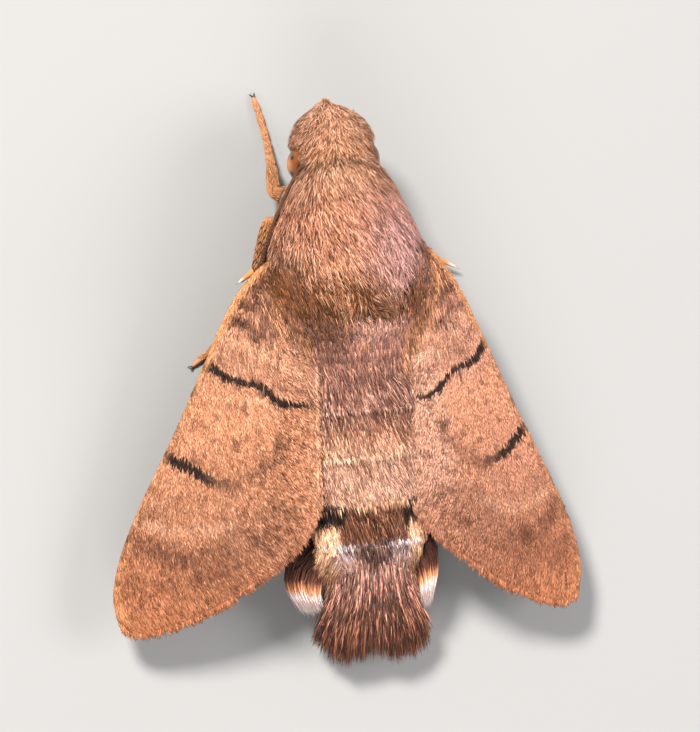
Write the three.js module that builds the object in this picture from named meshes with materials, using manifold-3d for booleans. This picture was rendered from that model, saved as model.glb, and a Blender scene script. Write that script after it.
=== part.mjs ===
// A hummingbird hawk moth at rest with its wings folded back, life-size, in millimetres.
// In body coordinates x points to the moth's left, y runs back from the tip of the snout,
// and z is the height above the surface that the feet stand on.
import * as THREE from "three";
import { mergeVertices } from "three/addons/utils/BufferGeometryUtils.js";
import Module from "manifold-3d";

const wasm = await Module();
wasm.setup();

// Driving sizes
const CLEARANCE = 0.3; // between neighbouring pieces
const SLOPE_ALLOWANCE = 0.2; // added where a rounded body is grown, to keep the clearance on its slopes
const MEMBRANE = 0.5; // thickness of a wing between its veins
const SIDES = { left: 1, right: -1 };
// From body coordinates to the middle of the space that the whole moth takes up
const CENTRE = { x: 0.82, y: 14.68 };

// Cross sections of the body: y, half the width, height of the back, of the belly and of the widest point
const HEAD = [
  { y: 0.35, half: 0.5, top: 5.1, low: 4.0, mid: 4.55 },
  { y: 0.9, half: 1.4, top: 5.75, low: 3.5, mid: 4.7 },
  { y: 1.5, half: 1.95, top: 6.3, low: 3.1, mid: 4.8 },
  { y: 2.5, half: 2.35, top: 6.85, low: 2.85, mid: 4.95 },
  { y: 3.4, half: 2.5, top: 7.15, low: 2.75, mid: 5.0 },
  { y: 4.2, half: 2.62, top: 7.35, low: 2.7, mid: 5.05 },
];
const THORAX = [
  { y: 4.5, half: 2.8, top: 7.5, low: 2.65, mid: 5.05 },
  { y: 5.0, half: 3.02, top: 7.7, low: 2.5, mid: 5.1 },
  { y: 6.1, half: 3.43, top: 8.15, low: 2.25, mid: 5.2 },
  { y: 7.2, half: 3.84, top: 8.55, low: 2.05, mid: 5.3 },
  { y: 8.5, half: 4.15, top: 8.85, low: 1.9, mid: 5.4 },
  { y: 10.0, half: 4.3, top: 8.95, low: 1.8, mid: 5.5 },
  { y: 11.3, half: 4.1, top: 8.8, low: 1.8, mid: 5.6 },
  { y: 12.5, half: 3.4, top: 8.35, low: 2.1, mid: 5.7 },
  { y: 13.4, half: 2.2, top: 7.75, low: 3.2, mid: 5.9 },
  { y: 13.8, half: 0.9, top: 7.2, low: 4.8, mid: 6.1 },
];
const ABDOMEN = [
  { y: 11.0, half: 3.2, top: 6.9, low: 2.3, mid: 4.3 },
  { y: 12.5, half: 3.6, top: 7.1, low: 2.05, mid: 4.3 },
  { y: 14.5, half: 3.75, top: 7.05, low: 1.9, mid: 4.3 },
  { y: 16.8, half: 3.7, top: 6.85, low: 1.85, mid: 4.2 },
  { y: 19.3, half: 3.6, top: 6.5, low: 1.85, mid: 4.05 },
  { y: 21.7, half: 3.42, top: 6.1, low: 1.9, mid: 3.9 },
  { y: 23.9, half: 3.1, top: 5.5, low: 2.05, mid: 3.75 },
  { y: 25.4, half: 2.3, top: 4.7, low: 2.3, mid: 3.4 },
];
// Where one ring of the abdomen ends and the next begins
const RING_ENDS = [11.3, 14.6, 16.8, 19.3, 21.7, 23.9, 25.1];
const RING_FLARE = 0.12; // how far the back edge of a ring of the abdomen stands out over the next
const SCALE_TOOTH = 0.2; // how far the scales reach past that edge

const FAN_CORE = [
  { y: 25.4, half: 2.1, top: 3.75, low: 2.05, mid: 2.95 },
  { y: 26.2, half: 2.2, top: 3.6, low: 2.0, mid: 2.85 },
  { y: 27.4, half: 1.9, top: 3.05, low: 2.2, mid: 2.65 },
];
const FAN_SHIFT = -0.15; // the fan leans a little to the right
// How far each flank's tuft stands out, and how far back it reaches
const FLANK_TUFT = {
  left: { out: 4.15, reach: 27.3 },
  right: { out: 4.1, reach: 27.6 },
};

const EYE = { x: 1.45, y: 3.42, z: 4.9, radius: 1.0, inner: 1.0 };
const PALP = { gap: 0.16, width: 0.82, depth: 1.3 };
// The middle of the left palp, from its root under the head to the tip of the snout
const PALP_PATH = [
  [0.57, 2.7, 3.1],
  [0.67, 1.9, 3.1],
  [0.6, 1.0, 3.5],
  [0.42, 0.35, 4.0],
  [0.28, 0.02, 4.25],
];
const TONGUE = { y: 2.95, z: 2.3, radius: 0.82, width: 0.5, ridges: 4, groove: 0.12 };

// The fore wing in its own plane: a runs from the root to the apex, b from that line to the hind edge
const FORE_COSTA = [
  [0.3, 0.4],
  [1.6, -0.3],
  [3.5, -0.82],
  [7, -1.02],
  [11, -1.18],
  [14.5, -1.45],
  [17.5, -1.52],
  [20, -1.15],
  [21.4, -0.35],
];
const FORE_TERMEN = [
  [21.4, -0.35],
  [21.7, 0.5],
  [21.0, 1.75],
  [19.4, 3.5],
  [17.1, 5.15],
  [14.8, 6.4],
  [13.0, 6.95],
];
const FORE_INNER = [
  [1.5, 2.4],
  [4.2, 3.75],
  [7.1, 5.05],
  [10.2, 6.35],
  [12.0, 6.95],
  [13.0, 6.95],
];
const HIND_COSTA = [
  [3.0, 0.5],
  [6.5, 0.6],
  [10, 1.2],
  [13.2, 2.5],
];
const HIND_TERMEN = [
  [13.2, 2.5],
  [13.3, 3.4],
  [12.3, 4.2],
  [10.8, 4.3],
];
const HIND_INNER = [
  [3.3, 1.0],
  [5.5, 1.7],
  [8.1, 2.85],
  [10.8, 4.3],
];
// Where each pair of wings is hinged, and how far its front edge turns out from the line of the body
const WING_SET = {
  left: { x: 3.9, y: 7.5, lift: 0.05, sweep: 25.9, spread: 1.03 },
  right: { x: 4.15, y: 7.5, lift: 0.15, sweep: 19.3, spread: 0.96 },
};
// Where each vein runs, as a share of the way from the front edge to the hind edge, and where it starts
const FORE_VEINS = [
  { at: 0.05, from: 0 },
  { at: 0.15, from: 0 },
  { at: 0.27, from: 0.4 },
  { at: 0.39, from: 0.45 },
  { at: 0.52, from: 0.45 },
  { at: 0.64, from: 0.1 },
  { at: 0.77, from: 0.25 },
  { at: 0.9, from: 0 },
];
const HIND_VEINS = [
  { at: 0.1, from: 0 },
  { at: 0.3, from: 0.3 },
  { at: 0.5, from: 0.35 },
  { at: 0.7, from: 0 },
  { at: 0.88, from: 0 },
];
const VEIN = { rise: 0.14, share: 0.022 };
// Shares of the way across the wing where its under face has points
const UNDER_LINES = [0, 0.25, 0.5, 0.75, 1];

// Joints of each leg: where it leaves the body, its knee, its ankle, then the foot's bends up to the claws
const LEGS = {
  fore_left: {
    hip: [1.25, 5.0, 2.9],
    knee: [2.85, 4.75, 2.3],
    ankle: [2.45, 3.3, 0.75],
    foot: [
      [2.45, 1.8, 0.22],
      [2.7, 0.4, 0.17],
      [2.92, -0.6, 0.15],
    ],
    thick: [0.42, 0.45, 0.27],
  },
  fore_right: {
    hip: [-1.25, 5.0, 2.9],
    knee: [-2.75, 4.9, 2.3],
    ankle: [-2.3, 3.9, 0.75],
    foot: [
      [-2.15, 2.7, 0.22],
      [-2.2, 1.7, 0.17],
      [-2.35, 0.75, 0.15],
    ],
    thick: [0.42, 0.45, 0.27],
  },
  mid_left: {
    hip: [1.6, 7.6, 2.3],
    knee: [3.25, 6.1, 2.45],
    ankle: [3.85, 8.85, 0.8],
    foot: [
      [4.8, 10.6, 0.22],
      [6.3, 12.3, 0.17],
      [7.75, 13.4, 0.15],
    ],
    spurs: [[4.85, 9.25, 0.5]],
    thick: [0.42, 0.38, 0.27],
  },
  mid_right: {
    hip: [-1.6, 7.6, 2.3],
    knee: [-3.6, 6.45, 2.4],
    ankle: [-5.45, 8.8, 0.8],
    foot: [
      [-6.1, 10.4, 0.22],
      [-6.7, 12.0, 0.17],
      [-7.4, 13.4, 0.15],
    ],
    spurs: [[-6.85, 9.7, 0.5]],
    thick: [0.42, 0.38, 0.27],
  },
  hind_left: {
    hip: [1.8, 10.2, 2.1],
    knee: [4.3, 10.3, 2.5],
    ankle: [5.3, 14.2, 0.85],
    foot: [
      [5.9, 16.0, 0.22],
      [6.6, 17.8, 0.17],
      [7.3, 19.3, 0.15],
    ],
    spurs: [[6.1, 15.0, 0.5]],
    thick: [0.45, 0.4, 0.27],
  },
  hind_right: {
    hip: [-1.8, 10.2, 2.1],
    knee: [-4.2, 10.5, 2.5],
    ankle: [-5.1, 14.4, 0.85],
    foot: [
      [-5.6, 16.2, 0.22],
      [-6.1, 18.0, 0.17],
      [-6.7, 19.6, 0.15],
    ],
    spurs: [[-5.9, 15.2, 0.5]],
    thick: [0.45, 0.4, 0.27],
  },
};

// The feelers are folded back along the flanks, and their ends are under the fore wings
const ANTENNA_PATHS = {
  left: [
    [1.3, 2.4, 6.5],
    [1.9, 3.5, 6.5],
    [2.55, 4.4, 6.0],
    [3.4, 5.94, 5.35],
    [3.95, 7.14, 4.8],
    [4.3, 7.95, 4.35],
    [4.75, 9.0, 4.0],
    [5.2, 10.3, 3.6],
    [5.5, 11.7, 3.3],
    [5.4, 12.3, 3.1],
  ],
  right: [
    [-1.3, 2.4, 6.5],
    [-1.9, 3.5, 6.45],
    [-2.65, 4.6, 5.6],
    [-3.1, 5.9, 4.7],
    [-3.6, 7.2, 4.35],
    [-4.1, 8.3, 4.1],
    [-4.6, 9.4, 3.85],
    [-5.0, 10.6, 3.55],
    [-5.2, 11.8, 3.3],
    [-5.1, 12.4, 3.1],
  ],
};
const FOOT_JOINTS = 5;
const ANTENNA = { stalk: 0.25, club: 0.36, clubAt: 0.84 };

const COLOURS = {
  coat: [0xa8795c, 0.85],
  abdomen: [0x9a715a, 0.85],
  band: [0x5f473a, 0.85],
  fan: [0x6f4d40, 0.8],
  eye: [0x5a2f12, 0.25],
  buff: [0xc9995c, 0.75],
  antenna: [0x6a5340, 0.7],
  fore_wing: [0xb5805a, 0.8],
  hind_wing: [0xd07a2c, 0.75],
  tongue: [0x4a3325, 0.5],
};

// Value of a cubic through (x, value) pairs, for a number that varies along the body or a limb
function smooth(pairs, x) {
  let i = 1;
  while (i < pairs.length - 1 && x > pairs[i][0]) i += 1;
  const slope = (k) => {
    const before = pairs[Math.max(k - 1, 0)];
    const after = pairs[Math.min(k + 1, pairs.length - 1)];
    return (after[1] - before[1]) / (after[0] - before[0]);
  };
  const [x0, v0] = pairs[i - 1];
  const [x1, v1] = pairs[i];
  const span = x1 - x0;
  const t = THREE.MathUtils.clamp((x - x0) / span, 0, 1);
  const lift = t * t * (3 - 2 * t);
  const leaving = slope(i - 1) * span * t * (1 - t) * (1 - t);
  const arriving = slope(i) * span * t * t * (1 - t);
  return v0 + (v1 - v0) * lift + leaving - arriving;
}

// Geometry helpers: every solid is made of rings of points joined one to the next
function lofted(rings) {
  const sides = rings[0].length;
  const vertices = rings.flat();
  const faces = [];
  for (let r = 0; r + 1 < rings.length; r += 1) {
    for (let k = 0; k < sides; k += 1) {
      const a = r * sides + k;
      const b = r * sides + ((k + 1) % sides);
      faces.push(a, b, b + sides, a, b + sides, a + sides);
    }
  }
  const last = (rings.length - 1) * sides;
  for (const [start, flip] of [
    [0, true],
    [last, false],
  ]) {
    const middle = new THREE.Vector3();
    for (let k = 0; k < sides; k += 1) middle.add(vertices[start + k]);
    vertices.push(middle.divideScalar(sides));
    const hub = vertices.length - 1;
    for (let k = 0; k < sides; k += 1) {
      const a = start + k;
      const b = start + ((k + 1) % sides);
      if (flip) faces.push(hub, b, a);
      else faces.push(hub, a, b);
    }
  }
  const geometry = new THREE.BufferGeometry().setFromPoints(vertices);
  return geometry.setIndex(faces);
}

function solidOf(geometry) {
  const bare = geometry.clone();
  bare.deleteAttribute("normal");
  bare.deleteAttribute("uv");
  const merged = mergeVertices(bare, 1e-4);
  const made = new wasm.Manifold(
    new wasm.Mesh({
      numProp: 3,
      vertProperties: new Float32Array(merged.attributes.position.array),
      triVerts: new Uint32Array(merged.index.array),
    }),
  );
  if (made.volume() >= 0) return made;
  const turned = merged.index.array.slice();
  for (let i = 0; i < turned.length; i += 3) {
    [turned[i + 1], turned[i + 2]] = [turned[i + 2], turned[i + 1]];
  }
  return new wasm.Manifold(
    new wasm.Mesh({
      numProp: 3,
      vertProperties: new Float32Array(merged.attributes.position.array),
      triVerts: new Uint32Array(turned),
    }),
  );
}

function loftSolid(rings) {
  return solidOf(lofted(rings));
}

function geometryOf(solid) {
  const mesh = solid.getMesh();
  const count = mesh.vertProperties.length / mesh.numProp;
  const positions = new Float32Array(count * 3);
  for (let i = 0; i < count; i += 1) {
    for (let k = 0; k < 3; k += 1) {
      positions[i * 3 + k] = mesh.vertProperties[i * mesh.numProp + k];
    }
  }
  const geometry = new THREE.BufferGeometry();
  geometry.setAttribute("position", new THREE.BufferAttribute(positions, 3));
  geometry.setIndex(new THREE.BufferAttribute(new Uint32Array(mesh.triVerts), 1));
  return geometry;
}

// The largest closed surface of a solid, without loose scraps or sealed hollows
function largest(solid) {
  const pieces = solid.decompose();
  return pieces.reduce((best, piece) => (piece.volume() > best.volume() ? piece : best));
}

function cutBy(solid, ...neighbours) {
  return largest(neighbours.reduce((left, other) => left.subtract(other), solid));
}

function joined(solids) {
  return largest(solids.reduce((sum, solid) => sum.add(solid)));
}

function box(low, high) {
  const size = high.map((h, i) => h - low[i]);
  const geometry = new THREE.BoxGeometry(...size);
  geometry.translate(...low.map((l, i) => l + size[i] / 2));
  return solidOf(geometry);
}

// An eye is most of a ball, flat on the side that is set into the head
function eye(side, grow = 0) {
  const geometry = new THREE.SphereGeometry(EYE.radius + grow, 16, 8);
  geometry.rotateZ(Math.PI / 2);
  geometry.translate(EYE.x * side, EYE.y, EYE.z);
  const reach = EYE.x + EYE.radius + 1;
  const inner = EYE.inner - grow;
  const [low, high] = side > 0 ? [inner, reach] : [-reach, -inner];
  return solidOf(geometry).intersect(box([low, 0, 0], [high, 10, 10]));
}

// A part of the body, from its table of cross sections
function bodyRing(table, y, sides, grow, relief) {
  const along = THREE.MathUtils.clamp(y, table[0].y, table[table.length - 1].y);
  const size = (key) => smooth(table.map((row) => [row.y, row[key]]), along);
  const half = size("half") + grow;
  const mid = size("mid");
  const up = size("top") - mid + grow;
  const down = mid - size("low") + grow;
  return Array.from({ length: sides }, (_, k) => {
    const angle = (k / sides) * 2 * Math.PI;
    const across = Math.cos(angle);
    const rise = Math.sin(angle);
    const extra = relief(y, angle, k);
    const x = (half + extra.out) * across;
    const z = mid + (rise > 0 ? up + extra.out : down + extra.out) * rise;
    return new THREE.Vector3(x, y + extra.back, z);
  });
}

const FLAT = () => ({ out: 0, back: 0 });

function bodyPart(table, { from, to, steps, sides, grow = 0, relief = FLAT }) {
  const rings = [];
  for (let i = 0; i <= steps; i += 1) {
    const y = from - grow + ((to - from + 2 * grow) * i) / steps;
    rings.push(bodyRing(table, y, sides, grow, relief));
  }
  return loftSolid(rings);
}

// A round limb that follows joints, with a radius given along it as [share, radius] pairs
function limb(points, radii, { sides = 10, steps = 16, grow = 0 } = {}) {
  const path = new THREE.CatmullRomCurve3(points.map((p) => new THREE.Vector3(...p)), false, "centripetal");
  const up = new THREE.Vector3(0, 0, 1);
  const rings = [];
  for (let i = 0; i <= steps; i += 1) {
    const share = i / steps;
    const centre = path.getPointAt(share);
    const ahead = path.getTangentAt(share);
    if (i === 0) centre.addScaledVector(ahead, -grow);
    if (i === steps) centre.addScaledVector(ahead, grow);
    const across = new THREE.Vector3().crossVectors(ahead, up).normalize();
    const over = new THREE.Vector3().crossVectors(across, ahead).normalize();
    const radius = smooth(radii, share) + grow;
    rings.push(
      Array.from({ length: sides }, (_, k) => {
        const angle = ((k + 0.5) / sides) * 2 * Math.PI;
        return centre
          .clone()
          .addScaledVector(across, radius * Math.cos(angle))
          .addScaledVector(over, radius * Math.sin(angle));
      }),
    );
  }
  return loftSolid(rings);
}

// A flat lock of long scales that bends from its root to a pointed tip
function lock({ root, via, tip, side, width, thick }) {
  const path = new THREE.QuadraticBezierCurve3(
    new THREE.Vector3(...root),
    new THREE.Vector3(...via),
    new THREE.Vector3(...tip),
  );
  const across = new THREE.Vector3(...side).normalize();
  const shape = [
    [0, 0.75, 1],
    [0.45, 1, 1],
    [0.85, 0.7, 0.6],
    [1, 0.12, 0.16],
  ];
  const rings = shape.map(([share, wide, deep]) => {
    const centre = path.getPoint(share);
    const ahead = path.getTangent(share);
    const over = new THREE.Vector3().crossVectors(across, ahead).normalize();
    const edge = new THREE.Vector3().crossVectors(ahead, over).normalize();
    return Array.from({ length: 6 }, (_, k) => {
      const angle = (k / 6) * 2 * Math.PI;
      return centre
        .clone()
        .addScaledVector(edge, (width / 2) * wide * Math.cos(angle))
        .addScaledVector(over, (thick / 2) * deep * Math.sin(angle));
    });
  });
  return loftSolid(rings);
}

// Numbers in 0..1 that look random and are the same on every run
function seeded(seed) {
  let state = seed;
  return () => {
    state = (state * 16807) % 2147483647;
    return state / 2147483647;
  };
}

// Head
function palp(side, grow = 0) {
  const points = PALP_PATH.map(([x, y, z]) => new THREE.Vector3(side * x, y, z));
  const path = new THREE.CatmullRomCurve3(points);
  const fullness = [
    [0, 0.6],
    [0.3, 1],
    [0.6, 0.95],
    [0.85, 0.6],
    [1, 0.22],
  ];
  const over = new THREE.Vector3(0, 0.45, 1).normalize();
  const steps = 7;
  const sides = 10;
  const rings = [];
  for (let i = 0; i <= steps; i += 1) {
    const share = i / steps;
    const centre = path.getPointAt(share);
    if (i === 0) centre.y += grow;
    if (i === steps) centre.y -= grow;
    const full = smooth(fullness, share);
    const halfWidth = (PALP.width / 2) * full + grow;
    const halfDepth = (PALP.depth / 2) * full + grow;
    rings.push(
      Array.from({ length: sides }, (_, k) => {
        const angle = (k / sides) * 2 * Math.PI;
        const x = centre.x + halfWidth * Math.cos(angle);
        // Neither palp crosses the middle of the head
        const held = side > 0 ? Math.max(x, PALP.gap - grow) : Math.min(x, -PALP.gap + grow);
        const level = new THREE.Vector3(held, centre.y, centre.z);
        return level.addScaledVector(over, halfDepth * Math.sin(angle));
      }),
    );
  }
  return loftSolid(rings);
}

// The tongue at rest, coiled like a watch spring under the head
function tongue(grow = 0) {
  const half = TONGUE.width / 2 + grow;
  const reach = TONGUE.radius + grow;
  const face = Array.from({ length: TONGUE.ridges * 2 + 1 }, (_, i) => {
    const groove = i % 2 && !grow ? TONGUE.groove : 0;
    return new THREE.Vector2((reach * i) / (TONGUE.ridges * 2), half - groove);
  });
  const back = face.map(({ x, y }) => new THREE.Vector2(x, -y)).reverse();
  const geometry = new THREE.LatheGeometry([...back.reverse(), ...face.reverse()], 12);
  geometry.rotateZ(-Math.PI / 2);
  geometry.translate(0, TONGUE.y, TONGUE.z);
  return solidOf(geometry);
}

function antenna(name, grow = 0) {
  const radii = [
    [0, ANTENNA.stalk * 1.3],
    [0.06, ANTENNA.stalk * 1.25],
    [0.12, ANTENNA.stalk],
    [0.5, ANTENNA.stalk * 1.05],
    [ANTENNA.clubAt, ANTENNA.club],
    [0.95, ANTENNA.club * 0.75],
    [1, ANTENNA.stalk * 0.4],
  ];
  return limb(ANTENNA_PATHS[name], radii, { sides: 7, steps: 22, grow });
}

function head() {
  const whole = bodyPart(HEAD, { from: HEAD[0].y, to: HEAD[HEAD.length - 1].y, steps: 7, sides: 26 });
  const cuts = [tongue(CLEARANCE)];
  for (const [name, side] of Object.entries(SIDES)) {
    cuts.push(eye(side, CLEARANCE), palp(side, CLEARANCE), antenna(name, CLEARANCE));
  }
  return cutBy(whole, ...cuts);
}

// Thorax, with the shoulder plates over the wing roots raised in its coat
function shoulderPlates(y, angle) {
  const along = (y - 9.0) / 3.4;
  const fromRidge = Math.abs(Math.abs(angle - Math.PI / 2) - 0.72) / 0.42;
  const out = 0.16 * Math.max(0, 1 - along * along) * Math.max(0, 1 - fromRidge * fromRidge);
  return { out: angle < Math.PI ? out : 0, back: 0 };
}

function thoraxBody(grow = 0) {
  return bodyPart(THORAX, {
    from: THORAX[0].y,
    to: THORAX[THORAX.length - 1].y,
    steps: 12,
    sides: 30,
    grow,
    relief: shoulderPlates,
  });
}

function thorax() {
  const cuts = Object.entries(SIDES).flatMap(([name, side]) => [
    antenna(name, CLEARANCE),
    eye(side, CLEARANCE),
  ]);
  return cutBy(thoraxBody(), ...cuts);
}

// Abdomen
function abdomenRing(index) {
  const from = RING_ENDS[index] + CLEARANCE / 2;
  const to = RING_ENDS[index + 1] - CLEARANCE / 2;
  const steps = 3;
  const sides = 32;
  const rings = [];
  for (let i = 0; i <= steps; i += 1) {
    const share = i / steps;
    const y = from + (to - from - SCALE_TOOTH / 2) * share;
    const out = RING_FLARE * (share * share - 0.5);
    const relief = (_y, _angle, k) => ({
      out,
      back: i === steps && k % 2 ? SCALE_TOOTH / 2 : 0,
    });
    rings.push(bodyRing(ABDOMEN, y, sides, 0, relief));
  }
  return loftSolid(rings);
}

// The tufts of long scales that stand out from each flank of the last rings of the abdomen
function flankTuft(name, random) {
  const side = SIDES[name];
  const { out, reach } = FLANK_TUFT[name];
  const rows = [
    { root: 3.9, tip: 2.6, back: -0.9 },
    { root: 3.1, tip: 1.75, back: -0.3 },
    { root: 2.5, tip: 1.0, back: 0 },
  ];
  const count = 4;
  const locks = [];
  for (const row of rows) {
    for (let i = 0; i < count; i += 1) {
      // From the outermost lock to the one beside the fan
      const inward = i / (count - 1);
      const rootY = 24.35 + 0.5 * inward;
      const tipX = out - 0.45 - 0.6 * inward;
      const tipY = reach + row.back - 0.5 * (1 - inward) + 0.2 * (random() - 0.5);
      locks.push(
        lock({
          root: [side * (2.65 - 0.3 * inward), rootY, row.root],
          via: [side * (out + 0.5 - 1.4 * inward), rootY + 0.75, (row.root + row.tip) / 2 + 0.15],
          tip: [side * tipX, tipY, row.tip],
          side: [0.5 * side, 0, 1],
          width: 1.3,
          thick: 0.5,
        }),
      );
    }
  }
  return locks;
}

// The upper tier of long scales, over the root of the fan
function rumpTuft(random) {
  const count = 7;
  return Array.from({ length: count }, (_, i) => {
    const share = (i / (count - 1)) * 2 - 1;
    const arch = share * share;
    return lock({
      root: [share * 1.9, 24.5, 4.95 - 0.75 * arch],
      via: [share * 2.25, 25.8, 4.95 - 0.85 * arch],
      tip: [share * 2.15, 27.15 - 0.5 * arch + 0.3 * (random() - 0.5), 4.1 - 0.6 * arch],
      side: [1, 0, -0.5 * share],
      width: 0.95,
      thick: 0.5,
    });
  });
}

function lastRing() {
  const random = seeded(11);
  const core = abdomenRing(5);
  const tufts = [...flankTuft("left", random), ...flankTuft("right", random), ...rumpTuft(random)];
  return joined([core, ...tufts]);
}

// The tail fan: a short core that carries two tiers of long flat locks
function fanLocks(random, { count, spread, flare, reach, round, height, drop }) {
  return Array.from({ length: count }, (_, i) => {
    const share = (i / (count - 1)) * 2 - 1;
    const back = reach - round * share ** 4 + 0.3 * (random() - 0.5);
    const sink = 0.55 * share * share;
    return lock({
      root: [share * spread, 25.6, height - sink * 0.6],
      via: [share * spread * 1.1, 27.3, height - 0.25 * drop - sink],
      tip: [FAN_SHIFT + share * flare, back, height - drop - sink * 0.5],
      side: [1, 0, -0.25 * share],
      width: 0.86,
      thick: 0.5,
    });
  });
}

function tailFan() {
  const random = seeded(29);
  const core = bodyPart(FAN_CORE, { from: 25.4, to: 27.4, steps: 3, sides: 16 });
  const upper = { count: 9, spread: 1.95, flare: 2.95, reach: 29.6, round: 0.8, height: 3.3, drop: 1.3 };
  const lower = { count: 10, spread: 2.0, flare: 3.1, reach: 30.05, round: 0.7, height: 2.75, drop: 1.25 };
  return joined([core, ...fanLocks(random, upper), ...fanLocks(random, lower)]);
}

// Wings: the height of the middle of the fore wing's membrane
function wingHeight(a, b) {
  const lead = -0.3 - 0.066 * a;
  const front = 5.2 - 0.16 * a;
  const slope = 0.66 - 0.022 * a;
  const across = THREE.MathUtils.clamp((b - lead) / 8.5, 0, 1);
  return front + slope * (b - lead) + 0.25 * Math.sin(Math.PI * across);
}

function wingPoint(set, side, a, b, lift) {
  const sweep = THREE.MathUtils.degToRad(set.sweep);
  const back = b * set.spread;
  const x = set.x + a * Math.sin(sweep) - back * Math.cos(sweep);
  const y = set.y + a * Math.cos(sweep) + back * Math.sin(sweep);
  return new THREE.Vector3(side * x, y, wingHeight(a, back) + set.lift + lift);
}

// A patch that fills the space between a wing's front edge, outer edge, hind edge and root
function wingPatch(costa, termen, inner) {
  const curve = (points) => new THREE.SplineCurve(points.map((p) => new THREE.Vector2(...p)));
  const front = curve(costa);
  const hind = curve(inner);
  const outer = curve(termen);
  const rootFront = new THREE.Vector2(...costa[0]);
  const rootHind = new THREE.Vector2(...inner[0]);
  const tip = new THREE.Vector2(...termen[0]);
  const corner = new THREE.Vector2(...termen[termen.length - 1]);
  return (u, v) => {
    const between = front.getPointAt(u).multiplyScalar(1 - v).addScaledVector(hind.getPointAt(u), v);
    const across = rootFront.clone().lerp(rootHind, v).multiplyScalar(1 - u);
    across.addScaledVector(outer.getPointAt(v), u);
    const corners = rootFront.clone().multiplyScalar((1 - u) * (1 - v));
    corners.addScaledVector(rootHind, (1 - u) * v);
    corners.addScaledVector(tip, u * (1 - v));
    corners.addScaledVector(corner, u * v);
    return between.add(across).sub(corners);
  };
}

// Shares of the way across the wing where points are needed: both feet and the crest of each vein
function veinLines(veins) {
  const lines = [{ at: 0 }];
  for (const vein of veins) {
    lines.push({ at: vein.at - VEIN.share });
    lines.push({ at: vein.at, vein });
    lines.push({ at: vein.at + VEIN.share });
  }
  lines.push({ at: 1 });
  return lines;
}

// Triangles between two rows of numbered points, each given with its share of the way along
function zip(upper, under) {
  const faces = [];
  let i = 0;
  let j = 0;
  while (i + 1 < upper.length || j + 1 < under.length) {
    const nextUpper = i + 1 < upper.length ? upper[i + 1].at : Infinity;
    const nextUnder = j + 1 < under.length ? under[j + 1].at : Infinity;
    if (nextUpper <= nextUnder) {
      faces.push(upper[i].id, upper[i + 1].id, under[j].id);
      i += 1;
    } else {
      faces.push(upper[i].id, under[j + 1].id, under[j].id);
      j += 1;
    }
  }
  return faces;
}

// A wing is an upper face with its veins raised, a plainer under face, and the rim between them
function wing(set, side, patch, veins, { drop = 0, steps = 12 } = {}) {
  const points = [];
  const face = (lines, lift) =>
    Array.from({ length: steps + 1 }, (_, i) =>
      lines.map(({ at, vein }) => {
        const u = i / steps;
        const { x: a, y: b } = patch(u, at);
        const raised = vein && u >= vein.from ? VEIN.rise * (1 - 0.5 * u) : 0;
        points.push(wingPoint(set, side, a, b, lift + raised - drop));
        return { id: points.length - 1, at, along: u };
      }),
    );
  const upper = face(veinLines(veins), MEMBRANE / 2);
  const under = face(UNDER_LINES.map((at) => ({ at })), -MEMBRANE / 2);
  const rimOf = (grid, column) => grid.map((row) => ({ id: row.at(column).id, at: row[0].along }));
  const faces = [];
  for (let i = 0; i < steps; i += 1) {
    faces.push(...zip(upper[i + 1], upper[i]), ...zip(under[i], under[i + 1]));
  }
  faces.push(...zip(upper[0], under[0]), ...zip(under[steps], upper[steps]));
  faces.push(...zip(rimOf(under, 0), rimOf(upper, 0)), ...zip(rimOf(upper, -1), rimOf(under, -1)));
  const geometry = new THREE.BufferGeometry().setFromPoints(points);
  return solidOf(geometry.setIndex(faces));
}

// Legs: each piece is cut clear of the one that carries it
function middle(from, to, lift) {
  return [(from[0] + to[0]) / 2, (from[1] + to[1]) / 2, (from[2] + to[2]) / 2 + lift];
}

function femur(leg, grow = 0) {
  const radius = leg.thick[0];
  const radii = [
    [0, radius * 1.15],
    [0.45, radius * 1.2],
    [0.85, radius],
    [1, radius * 0.55],
  ];
  const points = [leg.hip, middle(leg.hip, leg.knee, 0.1), leg.knee];
  return limb(points, radii, { sides: 8, steps: 5, grow });
}

function spur(leg, tip, grow) {
  const root = new THREE.Vector3(...leg.ankle).lerp(new THREE.Vector3(...leg.knee), 0.12).toArray();
  const radii = [
    [0, 0.26],
    [0.6, 0.25],
    [1, 0.1],
  ];
  return limb([root, middle(root, tip, 0.08), tip], radii, { sides: 6, steps: 3, grow });
}

// The shin, with the spurs at its lower end
function tibia(leg, grow = 0) {
  const radius = leg.thick[1];
  const radii = [
    [0, radius * 0.6],
    [0.12, radius],
    [0.6, radius * 0.95],
    [0.9, radius * 0.8],
    [1, radius * 0.5],
  ];
  const points = [leg.knee, middle(leg.knee, leg.ankle, 0.15), leg.ankle];
  const shin = limb(points, radii, { sides: 8, steps: 6, grow });
  return joined([shin, ...(leg.spurs ?? []).map((tip) => spur(leg, tip, grow))]);
}

function foot(leg) {
  const radius = leg.thick[2];
  const radii = [[0, radius]];
  for (let i = 1; i < FOOT_JOINTS; i += 1) {
    radii.push([(i - 0.5) / FOOT_JOINTS, radius * 0.93]);
    radii.push([i / FOOT_JOINTS, radius * 1.1]);
  }
  radii.push([1, radius * 0.6]);
  const whole = limb([leg.ankle, ...leg.foot], radii, { sides: 6, steps: FOOT_JOINTS * 2 });
  return whole.subtract(FLOOR);
}

const FLOOR = box([-30, -20, -5], [30, 60, 0]);

// Assembly
const moth = new THREE.Group();
moth.position.set(-CENTRE.x, -CENTRE.y, 0);

const materials = {};
for (const [name, [color, roughness]] of Object.entries(COLOURS)) {
  materials[name] = new THREE.MeshStandardMaterial({ color, roughness, metalness: 0 });
}

function add(name, solid, look) {
  const geometry = geometryOf(solid);
  geometry.computeVertexNormals();
  const mesh = new THREE.Mesh(geometry, materials[look]);
  mesh.name = name;
  moth.add(mesh);
}

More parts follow.
